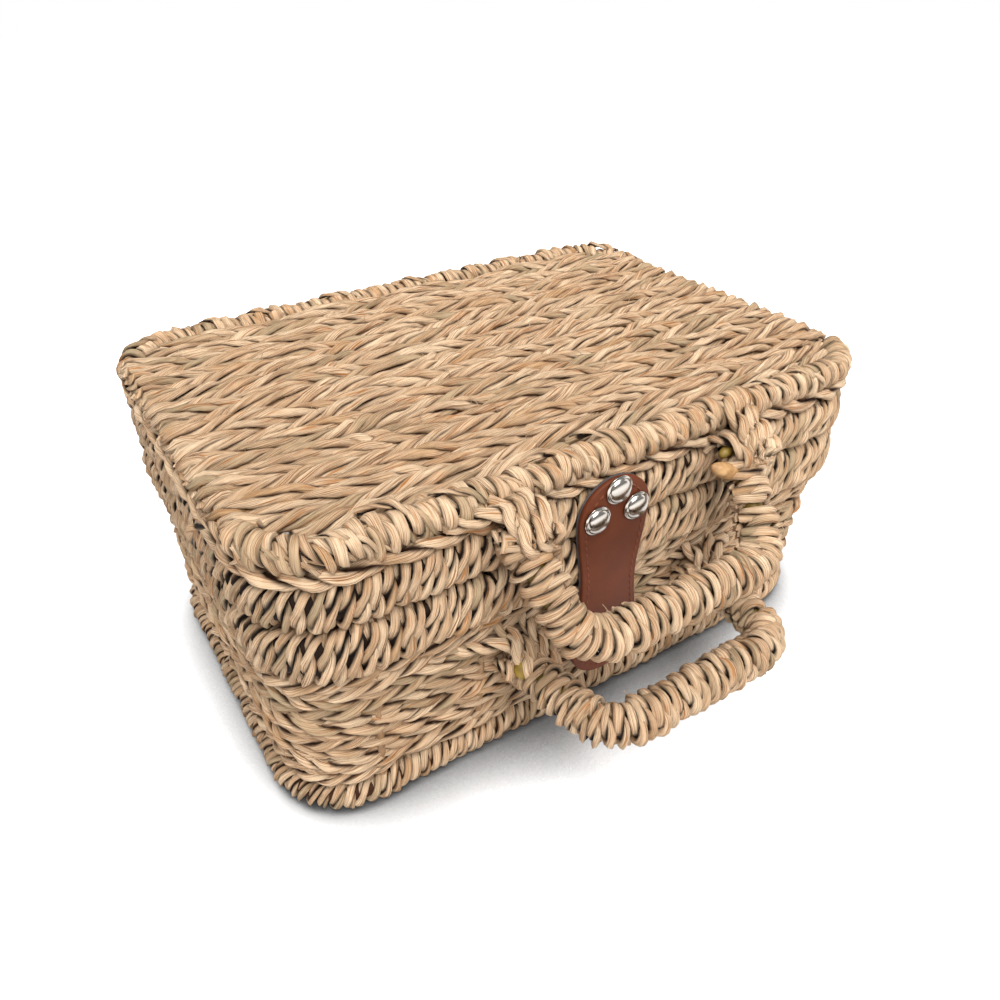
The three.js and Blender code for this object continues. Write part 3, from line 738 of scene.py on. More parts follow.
class Shader(Graph):
    """A material's graph round its Principled shader."""

    def __init__(self, name: str) -> None:
        """Start a material.

        Args:
            name: The material's name.
        """
        self.material = bpy.data.materials.new(name)
        self.material.use_nodes = True
        super().__init__(self.material.node_tree)

    def finish(self, **inputs: object) -> Material:
        """Feed the Principled shader, and return the material.

        Args:
            inputs: Names of its inputs, with underscores for spaces, and what goes into them.

        Returns:
            The finished material.
        """
        feeds = {key.replace("_", " "): value for key, value in inputs.items()}
        self.feed(self.tree.nodes["Principled BSDF"], feeds)
        return self.material

    def stored(self, name: str, output: str) -> Socket:
        """Read an attribute of the mesh, as a Vector or as Fac, a number."""
        return self.add("ShaderNodeAttribute", attribute_name=name).outputs[output]

    def spot(self) -> Socket:
        """Object coordinates."""
        return self.add("ShaderNodeTexCoord").outputs["Object"]

    def noise(self, place: object, scale: float, detail: float, roughness: float = 0.5) -> Socket:
        """A noise texture's value at a place."""
        feeds = {"Vector": place, "Scale": scale, "Detail": detail, "Roughness": roughness}
        return self.get("ShaderNodeTexNoise", feeds)

    def bump(self, height: object, strength: float, distance: float) -> Socket:
        """A normal that is bent by a height."""
        return self.get("ShaderNodeBump", {"Height": height, "Strength": strength, "Distance": distance})

    def ramp(self, value: object, stops: list[tuple[float, Colour]]) -> Socket:
        """Turn a value into a colour.

        Args:
            value: The value's socket.
            stops: Place and colour of each stop, from low to high.

        Returns:
            The colour's socket.
        """
        node = self.add("ShaderNodeValToRGB", {"Fac": value})
        elements = node.color_ramp.elements
        elements[0].position, elements[0].color = stops[0]
        elements[1].position, elements[1].color = stops[-1]
        for position, colour in stops[1:-1]:
            elements.new(position).color = colour
        return node.outputs["Color"]

    def mixed(self, share: object, low: object, high: object) -> Socket:
        """Mix two colours by the share of the second one.

        Args:
            share: Share of the second colour.
            low: Colour at 0.
            high: Colour at 1.

        Returns:
            The colour's socket.
        """
        feeds = {"Factor_Float": share, "A_Color": low, "B_Color": high}
        node = self.add("ShaderNodeMix", feeds, data_type="RGBA")
        return next(item for item in node.outputs if item.identifier == "Result_Color")


@dataclass(frozen=True)
class GrassFinish:
    """Dry twisted grass: straw strands of mixed tint with fibre lines, with painted shade where they face
    inwards.
    """

    name: str
    pale: Colour = srgb(240, 211, 175)
    straw: Colour = srgb(219, 184, 147)
    grey: Colour = srgb(190, 168, 134)
    tan: Colour = srgb(206, 166, 122)
    brown: Colour = srgb(190, 128, 74)
    shade: Colour = srgb(138, 85, 44)
    # Painted shade: the colour of strands where they face into the work, in the crevices between them.
    crevice: Colour = srgb(52, 28, 12)
    fibre_count: float = 8.0
    fibre_length: float = 26 * MM
    fibre_slant: float = 0.8
    strand_spread: float = 61.0
    line_start: float = 0.38
    line_end: float = 0.51
    patch_scale: float = 60.0
    patch_strength: float = 1.1
    tint_strength: float = 0.7
    tint_start: float = 0.15
    fleck_count: float = 0.9
    fleck_scale: float = 1.9
    fleck_start: float = 0.6
    fleck_end: float = 0.74
    crevice_start: float = -0.75
    crevice_end: float = 0.3
    bump_depth: float = 1.4 * MM
    roughness: float = 0.68
    gloss: float = 0.15

    def material(self) -> Material:
        """Build the material on the strands' own stored directions and lengths.

        Returns:
            The finished material.
        """
        shader = Shader(self.name)
        ring = shader.stored("ring", "Vector")
        tint = shader.stored("tint", "Fac")
        run = shader.math("MULTIPLY", shader.stored("along", "Fac"), 1 / self.fibre_length)
        depth = shader.math("ADD", run, shader.math("MULTIPLY", tint, self.strand_spread))
        slant = shader.math("MULTIPLY", run, self.fibre_slant)
        flow = shader.get("ShaderNodeCombineXYZ", {"X": slant, "Z": depth})
        place = shader.vector("ADD", shader.scaled(ring, self.fibre_count), flow)
        fibre = shader.noise(place, 1.0, detail=5.0, roughness=0.7)
        patch = shader.noise(shader.spot(), self.patch_scale, detail=3.0)
        patch = shader.math("MULTIPLY", shader.math("SUBTRACT", patch, 0.5), self.patch_strength)
        tone = shader.math("ADD", shader.line(tint, self.tint_strength, self.tint_start), patch)
        stops = [(0.08, self.grey), (0.34, self.straw), (0.55, self.pale)]
        stops += [(0.8, self.straw), (1.0, self.tan)]
        place = shader.vector("ADD", shader.scaled(ring, self.fleck_count), flow)
        fleck = shader.noise(place, self.fleck_scale, detail=2.0)
        stain = shader.ranged(fleck, self.fleck_start, self.fleck_end)
        blade = shader.mixed(stain, shader.ramp(tone, stops), self.brown)
        lined = shader.mixed(shader.ranged(fibre, self.line_start, self.line_end), self.shade, blade)
        # Painted crevice shade: where the stored open value is low the strand faces into the work, and its
        # colour turns to the shade colour.
        limits = (self.crevice_start, self.crevice_end)
        light = shader.ranged(shader.stored("open", "Fac"), *limits, interpolation_type="SMOOTHSTEP")
        colour = shader.mixed(light, self.crevice, lined)
        return shader.finish(Base_Color=colour, Normal=shader.bump(fibre, 1.0, self.bump_depth),
                             Roughness=self.roughness, Specular_IOR_Level=self.gloss)


@dataclass(frozen=True)
class CaneFinish:
    """Cane with a satin skin and fine marks."""

    name: str
    light: Colour
    dark: Colour
    mark_scale: float = 260.0
    mark_depth: float = 0.3 * MM
    roughness: float = 0.6

    def material(self) -> Material:
        """Build the material on Object coordinates.

        Returns:
            The finished material.
        """
        shader = Shader(self.name)
        marks = shader.noise(shader.spot(), self.mark_scale, detail=5.0)
        colour = shader.ramp(marks, [(0.35, self.dark), (0.65, self.light)])
        normal = shader.bump(marks, 0.3, self.mark_depth)
        return shader.finish(Base_Color=colour, Normal=normal, Roughness=self.roughness)


@dataclass(frozen=True)
class LeatherFinish:
    """Leather with a fine pebbled grain and soft colour changes."""

    name: str
    light: Colour = srgb(91, 45, 25)
    dark: Colour = srgb(75, 36, 19)
    grain_scale: float = 1400.0
    roughness: float = 0.5
    roughness_change: float = 0.2
    cloud_scale: float = 70.0
    grain_depth: float = 0.2 * MM
    gloss: float = 0.12

    def material(self) -> Material:
        """Build the material on Object coordinates.

        Returns:
            The finished material.
        """
        shader = Shader(self.name)
        spot = shader.spot()
        cloud = shader.noise(spot, self.cloud_scale, detail=4.0)
        colour = shader.ramp(cloud, [(0.3, self.dark), (0.72, self.light)])
        feeds = {"Vector": spot, "Scale": self.grain_scale, "Randomness": 1.0}
        cells = shader.get("ShaderNodeTexVoronoi", feeds, feature="SMOOTH_F1")
        rough = shader.line(cloud, self.roughness_change, self.roughness - self.roughness_change / 2)
        return shader.finish(Base_Color=colour, Normal=shader.bump(cells, 0.3, self.grain_depth),
                             Roughness=rough, Specular_IOR_Level=self.gloss)


@dataclass(frozen=True)
class MetalFinish:
    """Polished nickel with faint smudges."""

    name: str
    colour: Colour = srgb(166, 160, 153)
    smudge_scale: float = 420.0
    smoothest: float = 0.14
    roughest: float = 0.24

    def material(self) -> Material:
        """Build the material on Object coordinates.

        Returns:
            The finished material.
        """
        shader = Shader(self.name)
        smudge = shader.noise(shader.spot(), self.smudge_scale, detail=3.0)
        rough = shader.ranged(smudge, 0.0, 1.0, (self.smoothest, self.roughest))
        return shader.finish(Base_Color=self.colour, Metallic=1.0, Roughness=rough)


@dataclass(frozen=True)
class FibreSizes:
    """Sizes of loose fibres: the space between them, their length, and how far off they start."""

    spacing: float
    length: float
    spread: float


class Workshop:
    """The finishes and the trees that all the pieces are made with."""

    def __init__(self) -> None:
        """Mix the finishes and build the trees once."""
        self.grass = GrassFinish("woven_grass").material()
        # The wrapped grass paints a darker and wider crevice shade than the woven grass.
        wrapped = GrassFinish("wrapped_grass", crevice=srgb(26, 13, 5), crevice_end=0.46)
        self.wrapped_grass = wrapped.material()
        self.olive_cane = CaneFinish("olive_cane", srgb(132, 106, 26), srgb(88, 68, 13)).material()
        self.pale_cane = CaneFinish("pale_cane", srgb(222, 198, 158), srgb(190, 158, 116)).material()
        # A darker copy of the cane: painted shade for the hoops and stakes that sit inside the weave.
        self.straw_cane = CaneFinish("straw_cane", srgb(146, 112, 76), srgb(116, 86, 56)).material()
        self.shaved_cane = CaneFinish("shaved_cane", srgb(176, 138, 92), srgb(128, 92, 52)).material()
        self.leather = LeatherFinish("brown_leather").material()
        backing = LeatherFinish("dark_backing", srgb(74, 70, 70), srgb(52, 48, 48), 900.0, 0.75)
        self.backing = backing.material()
        thread = LeatherFinish("thread", srgb(106, 62, 44), srgb(78, 42, 29), 3000.0, 0.7)
        self.thread = thread.material()
        self.nickel = MetalFinish("nickel").material()
        self.cord_trees = {plies: twisted_cord_tree(plies) for plies in (2, 3)}
        self.wrap_tree = wrapping_tree()
        self.rods = rod_tree()
        self.stitches = stitch_tree()
        self.placing = placing_tree()
        self.strays = stray_tree()

    @staticmethod
    def named(sizes: object, prefix: str = "") -> dict[str, object]:
        """Turn a dataclass into the trees' input names and their values."""
        fields = asdict(sizes).items()
        return {input_name(prefix + key): value for key, value in fields}

    def cords(self, name: str, strands: list[Points], sizes: CordSizes, body: Body,
              nodes: tuple[str, ...] = ()) -> None:
        """Twist grass cords along strands, as one piece.

        Args:
            name: The piece's name.
            strands: The cords' middle lines.
            sizes: The cords' sizes.
            body: The body that the piece moves with.
            nodes: The CAD nodes that it replaces.
        """
        inputs = self.named(sizes) | {"Material": self.grass}
        tree = self.cord_trees[inputs.pop("Plies")]
        finish_piece(tree.grow(name, curve_data(name, strands), inputs), body, nodes)

    def wraps(self, name: str, paths: list[Points], loop: Loop, sizes: WrapSizes, body: Body,
              nodes: tuple[str, ...] = (), closed: bool = False, **others: object) -> None:
        """Wrap a loop of grass cord round a core at each point of its paths, as one piece.

        Args:
            name: The piece's name.
            paths: Places of the loops along the core.
            loop: The loops' outline.
            sizes: The cord's sizes.
            body: The body that the piece moves with.
            nodes: The CAD nodes that it replaces.
            closed: Whether each path is a ring.
            others: Other inputs of the wrapping tree, such as its Material.
        """
        inputs = self.named(sizes) | self.named(loop, "loop_") | {"Material": self.wrapped_grass} | others
        piece = self.wrap_tree.grow(name, curve_data(name, paths, closed), inputs)
        finish_piece(piece, body, nodes)

    def loose_fibres(self, name: str, paths: list[Points], sizes: FibreSizes, body: Body) -> None:
        """Let loose fibres stand off along paths on one body."""
        inputs = self.named(sizes) | {"Material": self.grass}
        finish_piece(self.strays.grow(name, curve_data(name, paths), inputs), body)

    def placed(self, name: str, model: Piece, places: Points) -> Piece:
        """Put a copy of a turned metal piece at each place, as one mesh.

        Args:
            name: The piece's name.
            model: The turned piece, about the origin. It is removed.
            places: Where the copies go.

        Returns:
            The finished mesh object.
        """
        points = bpy.data.meshes.new(name + "_places")
        points.from_pydata(places, [], [])
        piece = self.placing.grow(name, points, {"Piece": model, "Material": self.nickel})
        bpy.data.objects.remove(model)
        return piece


def smooth_path(corners: Points, steps: int) -> Points:
    """Run a smooth line through corner points.

    Args:
        corners: The points that the line passes.
        steps: Steps between two of them.

    Returns:
        The line's points.
    """
    ends = [2 * corners[0] - corners[1], *corners, 2 * corners[-1] - corners[-2]]
    points = []
    for before, here, there, after in zip(ends, ends[1:], ends[2:], ends[3:]):
        for step in range(steps):
            share = step / steps
            bend = (there - before) * share
            bend += (2 * before - 5 * here + 4 * there - after) * share ** 2
            bend += (3 * here - before - 3 * there + after) * share ** 3
            points.append(here + bend * 0.5)
    return points + [corners[-1]]


def finish_piece(piece: Piece, body: Body, nodes: tuple[str, ...] = ()) -> None:
    """Ride a finished piece on its body and let it stand for its CAD nodes.

    Args:
        piece: The finished object.
        body: The body that it moves with.
        nodes: The CAD nodes that it replaces.
    """
    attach(piece, body.value)
    if nodes:
        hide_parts(*nodes)
    LOG.info("%s: %d faces on %s", piece.name, len(piece.data.polygons), body.value)


def joint_place(name: str) -> Vector:
    """The place of a joint's axis in the frame."""
    return Vector(next(joint["pos_m"] for joint in frame["joints"] if joint["name"] == name))


def turned_mesh(name: str, profile: list[tuple[float, float]], steps: int = 36) -> Piece:
    """Turn a profile about an axis that runs out of the front.

    Args:
        name: The piece's name.
        profile: Radius and distance towards the front, from the back's middle to the front's middle.
        steps: Points round the axis.

    Returns:
        The smooth turned object, about the origin.
    """
    shape = bmesh.new()
    corners = [shape.verts.new((radius, -out, 0)) for radius, out in profile]
    edges = [shape.edges.new(pair) for pair in zip(corners, corners[1:])]
    axis = {"cent": (0, 0, 0), "axis": (0, 1, 0), "angle": TURN, "steps": steps, "use_merge": True}
    bmesh.ops.spin(shape, geom=corners + edges, **axis)
    bmesh.ops.remove_doubles(shape, verts=shape.verts, dist=1e-6)
    bmesh.ops.recalc_face_normals(shape, faces=shape.faces)
    return smooth_piece(name, shape, sharp=42)


@dataclass
class RimPlan:
    """The rounded rectangle that the case is built on, at the middle of the lid's rim."""

    half_width: float
    half_depth: float
    corner: float = 26 * MM

    @classmethod
    def from_frame(cls) -> "RimPlan":
        """Read the plan from the lid's wrapped rim."""
        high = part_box("lid_rim_wrap")[1]
        return cls(high.x - RIM_RADIUS, high.y - RIM_RADIUS)

    def leaned(self, side: float, front: float) -> "RimPlan":
        """The plan where the case has leaned in at its sides and at its front and back."""
        return RimPlan(self.half_width - side, self.half_depth - front, self.corner)

    def length(self, offset: float) -> float:
        """Length of the outline at an offset outwards."""
        straight = 4 * (self.half_width - self.corner) + 4 * (self.half_depth - self.corner)
        return straight + TURN * (self.corner + offset)

    def at(self, distance: float, offset: float) -> tuple[Vector, Vector]:
        """Find a place on the outline, starting in the middle of the back.

        Args:
            distance: Distance along the outline at that offset.
            offset: How far outside the plan it lies.

        Returns:
            The place with no height, and the outward direction there.
        """
        long_side = 2 * (self.half_width - self.corner)
        short_side = 2 * (self.half_depth - self.corner)
        radius = self.corner + offset
        rest = (distance + long_side / 2) % self.length(offset)
        for quarter in range(4):
            side, other = (long_side, short_side) if quarter % 2 == 0 else (short_side, long_side)
            turn = Matrix.Rotation(quarter * TURN / 4, 3, "Z")
            outward = turn @ Vector((0, 1, 0))
            along = turn @ Vector((-1, 0, 0))
            if rest <= side:
                return outward * (other / 2 + radius) + along * (rest - side / 2), outward
            rest -= side
            if rest <= radius * TURN / 4 + 1e-9:
                angle = rest / radius
                direction = outward * math.cos(angle) + along * math.sin(angle)
                return outward * (other / 2) + along * (side / 2) + direction * radius, direction
            rest -= radius * TURN / 4
        return self.at(0.0, offset)

    def ring(self, offset: float, height: float, step: float) -> Points:
        """Points round the outline at one offset and height.

        Args:
            offset: How far outside the plan the ring lies.
            height: Its height.
            step: Distance between points.

        Returns:
            The points, without the first one again at the end.
        """
        length = self.length(offset)
        count = round(length / step)
        up = Vector((0, 0, height))
        return [self.at(length * index / count, offset)[0] + up for index in range(count)]

    def half_chord(self, y: float, offset: float) -> float:
        """Half the width of the outline along X.

        Args:
            y: Distance from the outline's middle along Y.
            offset: How far outside the plan the outline lies.

        Returns:
            Half the width.
        """
        past = abs(y) - (self.half_depth - self.corner)
        radius = self.corner + offset
        if past <= 0:
            return self.half_width + offset
        return self.half_width - self.corner + math.sqrt(max(radius * radius - past * past, 0.0))


def mid_height(node: str) -> float:
    """Height of the middle of a CAD node's box."""
    low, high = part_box(node)
    return (low.z + high.z) / 2


@dataclass
class Weave:
    """The woven rows of the lid, the floor and the base wall, and the wrapped rims."""

    plan: RimPlan
    shop: Workshop
    lid_cord: CordSizes = CordSizes(2.05 * MM, 1.65 * MM, -42 * MM, 3, 2 * MM, reversed_share=0.42)
    lid_inner_cord: CordSizes = CordSizes(2.4 * MM, 1.6 * MM, 30 * MM, 2, 2.6 * MM, 0.6, 0.6 * MM)
    floor_cord: CordSizes = CordSizes(2.2 * MM, 1.6 * MM, -34 * MM, 3, 2.4 * MM, 0.8, reversed_share=0.3)
    wall_cord: CordSizes = CordSizes(2.0 * MM, 1.3 * MM, -24 * MM, reversed_share=0.36)
    wall_inner_cord: CordSizes = CordSizes(2.5 * MM, 1.5 * MM, 26 * MM, step=2.8 * MM, waver=0.4 * MM)
    side_cord: CordSizes = CordSizes(2.4 * MM, 1.8 * MM, 30 * MM, upright_share=0.85, waver=2.2 * MM)
    band_wrap: WrapSizes = WrapSizes(-6 * MM, 0.17, 1.9 * MM, 1.25 * MM, 22 * MM)
    rim_wrap: WrapSizes = WrapSizes(13 * MM, 0.24, 2.4 * MM, 1.3 * MM, 26 * MM)
    crossing_wrap: WrapSizes = WrapSizes(40 * MM, 0.3, 1.7 * MM, 1.2 * MM, filling_share=0.1)
    foot_wrap: WrapSizes = WrapSizes(-7 * MM, 0.18, 1.8 * MM, 1.1 * MM, 22 * MM)
    lid_fibres: FibreSizes = FibreSizes(26 * MM, 6 * MM, 3 * MM)
    base_fibres: FibreSizes = FibreSizes(24 * MM, 6 * MM, 3 * MM)
    lid_seed: int = 3
    lid_inner_seed: int = 4
    floor_seed: int = 5
    wall_seed: int = 7
    row_pitch: float = 7.4 * MM
    row_step: float = 4 * MM
    row_drift: float = 0.3 * MM
    row_overlap: float = 2 * MM
    outer_row_shift: float = 1.2 * MM
    sway: float = 1.6 * MM
    sway_rate: float = 48.0
    sway_phase: float = 0.4
    ripple: float = 0.6 * MM
    ripple_rate: float = 131.0
    ripple_phase: float = -0.9
    wall_rows: int = 11
    wall_row_start: float = 60 * MM
    wall_bob: float = 0.9 * MM
    wall_bob_rate: float = 47.0
    wall_bob_phase: float = 1.7
    top_row_slack: float = 1.2 * MM
    stake_spacing: float = 27 * MM
    weave_depth: float = 0.9 * MM
    lid_rise: float = 1.6 * MM
    inner_depth: float = 1.4 * MM
    wall_inner_depth: float = 2.6 * MM
    side_row_offset: float = 2.2 * MM
    side_row_lift: float = 0.4 * MM
    curl_radius: float = 2.7 * MM
    curl_degrees: range = range(120, -101, -20)
    corner_wrapped: float = 0.8
    cord_thickness: float = 4.2 * MM
    band_corner: float = 4 * MM
    band_spacing: float = 4.3 * MM
    rim_spacing: float = 5 * MM
    crossing_spacing: float = 19 * MM
    crossing_lift: float = 1.2 * MM
    foot_spacing: float = 4.2 * MM
    foot_lift: float = 0.8 * MM
    foot_radius: float = 6.5 * MM

    def curl(self, y: float, side: int, height: float) -> Points:
        """Turn a row's end over the rim's hoop, from the inside to the outside.

        Args:
            y: Place of the row along Y.
            side: -1 for the left end, 1 for the right one.
            height: Height of the hoop's middle.

        Returns:
            The end's points.
        """
        points = []
        for angle in self.curl_degrees:
            out = self.plan.half_width + self.curl_radius * math.cos(math.radians(angle))
            rise = self.curl_radius * math.sin(math.radians(angle))
            points.append(Vector((side * out, y, height + rise)))
        return points

    def over_stakes(self, distance: float, row: int) -> float:
        """How far a row bulges at a place on its way over and under the stakes."""
        return self.weave_depth * math.sin(math.pi * (distance / self.stake_spacing + row))

    def panel_rows(self, node: str, seed: int, rise: float = 0.0, between: bool = False) -> list[Points]:
        """Lay rows from left to right across a rounded panel.

        Args:
            node: The CAD panel that the rows fill.
            seed: Seed of the small irregularities.
            rise: How far the rows lie over the panel's middle. Rows that rise turn over the rim.
            between: Whether the rows lie between the places of the others.

        Returns:
            One strand for each row.
        """
        chance = random.Random(seed)
        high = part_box(node)[1]
        hoop = mid_height(node)
        straight = self.plan.half_depth - self.plan.corner * self.corner_wrapped
        half = high.y + self.outer_row_shift
        count = round(2 * half / self.row_pitch)
        rows = []
        for row in range(count - between):
            y = -half + (row + (1.0 if between else 0.5)) * 2 * half / count
            reach = self.plan.half_chord(y, high.x - self.plan.half_width) + self.row_overlap
            drift = self.row_drift * chance.uniform(-1, 1)
            over_rim = rise > 0 and abs(y) < straight
            if over_rim:
                reach = self.plan.half_width - 2 * self.curl_radius
            steps = max(round(2 * reach / self.row_step), 8)
            strand = []
            for index in range(steps + 1):
                x = -reach + 2 * reach * index / steps
                sway = self.sway * math.sin(x * self.sway_rate + row * self.sway_phase)
                sway += self.ripple * math.sin(x * self.ripple_rate + row * self.ripple_phase)
                strand.append(Vector((x, y + sway + drift, hoop + rise + self.over_stakes(x, row))))
            if over_rim:
                start = self.curl(strand[0].y, -1, hoop)[::-1]
                strand = start + strand + self.curl(strand[-1].y, 1, hoop)
            rows.append(strand)
        return rows

    def wall_strands(self, inset_depth: float = 0.0) -> list[Points]:
        """Lay the twined rows round the sloping base wall.

        Args:
            inset_depth: How far inside the outer rows the rows lie, between the places of those.

        Returns:
            One strand for each row, which ends a step past its start.
        """
        low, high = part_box("base_wall")
        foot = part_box("base_foot_hoop")[1]
        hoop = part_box("base_band_hoop")[1]
        pitch = (high.z - low.z) / self.wall_rows
        chance = random.Random(self.wall_seed)
        strands = []
        between = inset_depth > 0
        for row in range(self.wall_rows - between):
            height = low.z + (row + (1.0 if between else 0.5)) * pitch
            inset = (hoop - foot) * ((hoop.z - height) / (hoop.z - foot.z))
            plan = self.plan.leaned(inset.x, inset.y)
            length = plan.length(0.0)
            start = self.wall_row_start * chance.uniform(-1, 1)
            slack = self.top_row_slack if row == self.wall_rows - 1 else 0.0
            steps = round(length / self.row_step)
            strand = []
            for index in range(steps + 2):
                distance = start + length * index / steps
                place, outward = plan.at(distance, 0.0)
                swing = slack - inset_depth + self.over_stakes(distance, row)
                bob = math.sin(distance * self.wall_bob_rate + row * self.wall_bob_phase)
                strand.append(place + outward * swing + Vector((0, 0, height + self.wall_bob * bob)))
            strands.append(strand)
        return strands

    def build(self) -> None:
        """Weave and wrap the lid and the base."""
        cords = self.shop.cords
        lid_rows = self.panel_rows("lid_top_panel", self.lid_seed, self.lid_rise)
        cords("lid_weave", lid_rows, self.lid_cord, Body.LID, ("lid_top_panel",))
        rows = self.panel_rows("lid_top_panel", self.lid_inner_seed, -self.inner_depth, True)
        cords("lid_inner_weave", rows, self.lid_inner_cord, Body.LID)
        rows = self.panel_rows("base_floor_panel", self.floor_seed)
        cords("floor_weave", rows, self.floor_cord, Body.BASE, ("base_floor_panel",))
        wall_rows = self.wall_strands()
        cords("wall_weave", wall_rows, self.wall_cord, Body.BASE, ("base_wall",))
        rows = self.wall_strands(self.wall_inner_depth)
        cords("wall_inner_weave", rows, self.wall_inner_cord, Body.BASE)
        height = mid_height("lid_side_row") + self.side_row_lift
        ring = self.plan.ring(self.side_row_offset, height, self.row_step)
        cords("lid_side_cord", [ring + ring[:1]], self.side_cord, Body.LID, ("lid_side_row",))
        self.wrap_rims()
        rim = self.plan.ring(0.0, mid_height("lid_rim_wrap"), self.row_step)
        self.shop.loose_fibres("lid_stray_fibres", [rim] + lid_rows, self.lid_fibres, Body.LID)
        band = self.plan.ring(0.0, mid_height("base_band_wrap"), self.row_step)
        self.shop.loose_fibres("base_stray_fibres", [band] + wall_rows, self.base_fibres, Body.BASE)

    def long_sides(self, step: float) -> list[Points]:
        """Follow the lid's rim along the back and along the front, round the corners.

        Args:
            step: Distance between points.

        Returns:
            The two paths.
        """
        length = self.plan.length(0.0)
        half = self.plan.half_width - self.plan.corner * (1 - self.corner_wrapped * TURN / 4)
        count = round(2 * half / step)
        up = Vector((0, 0, mid_height("lid_rim_wrap")))
        paths = []
        for middle in (0.0, length / 2):
            spots = [middle - half + 2 * half * index / count for index in range(count + 1)]
            paths.append([self.plan.at(spot, 0.0)[0] + up for spot in spots])
        return paths

    def wrap_rims(self) -> None:
        """Wrap both bands, the lid's rim and the foot."""
        wraps = self.shop.wraps
        for node, body in (("lid_band_wrap", Body.LID), ("base_band_wrap", Body.BASE)):
            low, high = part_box(node)
            ring = self.plan.ring(0.0, mid_height(node), self.band_spacing)
            width = 2 * (high.x - self.plan.half_width) - self.cord_thickness
            loop = Loop(width, high.z - low.z - self.cord_thickness, self.band_corner)
            wraps(node + "_strands", [ring], loop, self.band_wrap, body, (node,), True)
        across = 2 * RIM_RADIUS - self.cord_thickness
        sides = self.long_sides(self.rim_spacing)
        loop = Loop.round(across)
        wraps("lid_rim_wrap_strands", sides, loop, self.rim_wrap, Body.LID, ("lid_rim_wrap",))
        sides = self.long_sides(self.crossing_spacing)
        loop = Loop.round(across + self.crossing_lift)
        wraps("lid_rim_crossing_strands", sides, loop, self.crossing_wrap, Body.LID)
        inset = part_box("lid_rim_hoop")[1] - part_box("base_foot_hoop")[1]
        plan = self.plan.leaned(inset.x, inset.y)
        ring = plan.ring(0.0, mid_height("base_foot_wrap"), self.foot_spacing)
        loop = Loop.round(2 * self.foot_radius - self.cord_thickness - self.foot_lift)
        # The foot takes the woven grass, whose painted crevice shade is lighter.
        wraps("base_foot_wrap_strands", [ring], loop, self.foot_wrap, Body.BASE, ("base_foot_wrap",), True,
              Material=self.shop.grass)


@dataclass(frozen=True)
class CaneEnd:
    """A cut end of a handle's cane that shows beside its tie, placed from the handle's joint."""

    place: Triple
    toward: Triple
    radius: float
    half_length: float
    shaved: bool


@dataclass(frozen=True)
class TieCord:
    """One cord of a tie, in distances from the tie's middle: outwards along the pin, and up."""

    root: float
    root_rise: float
    over: float
    front: float


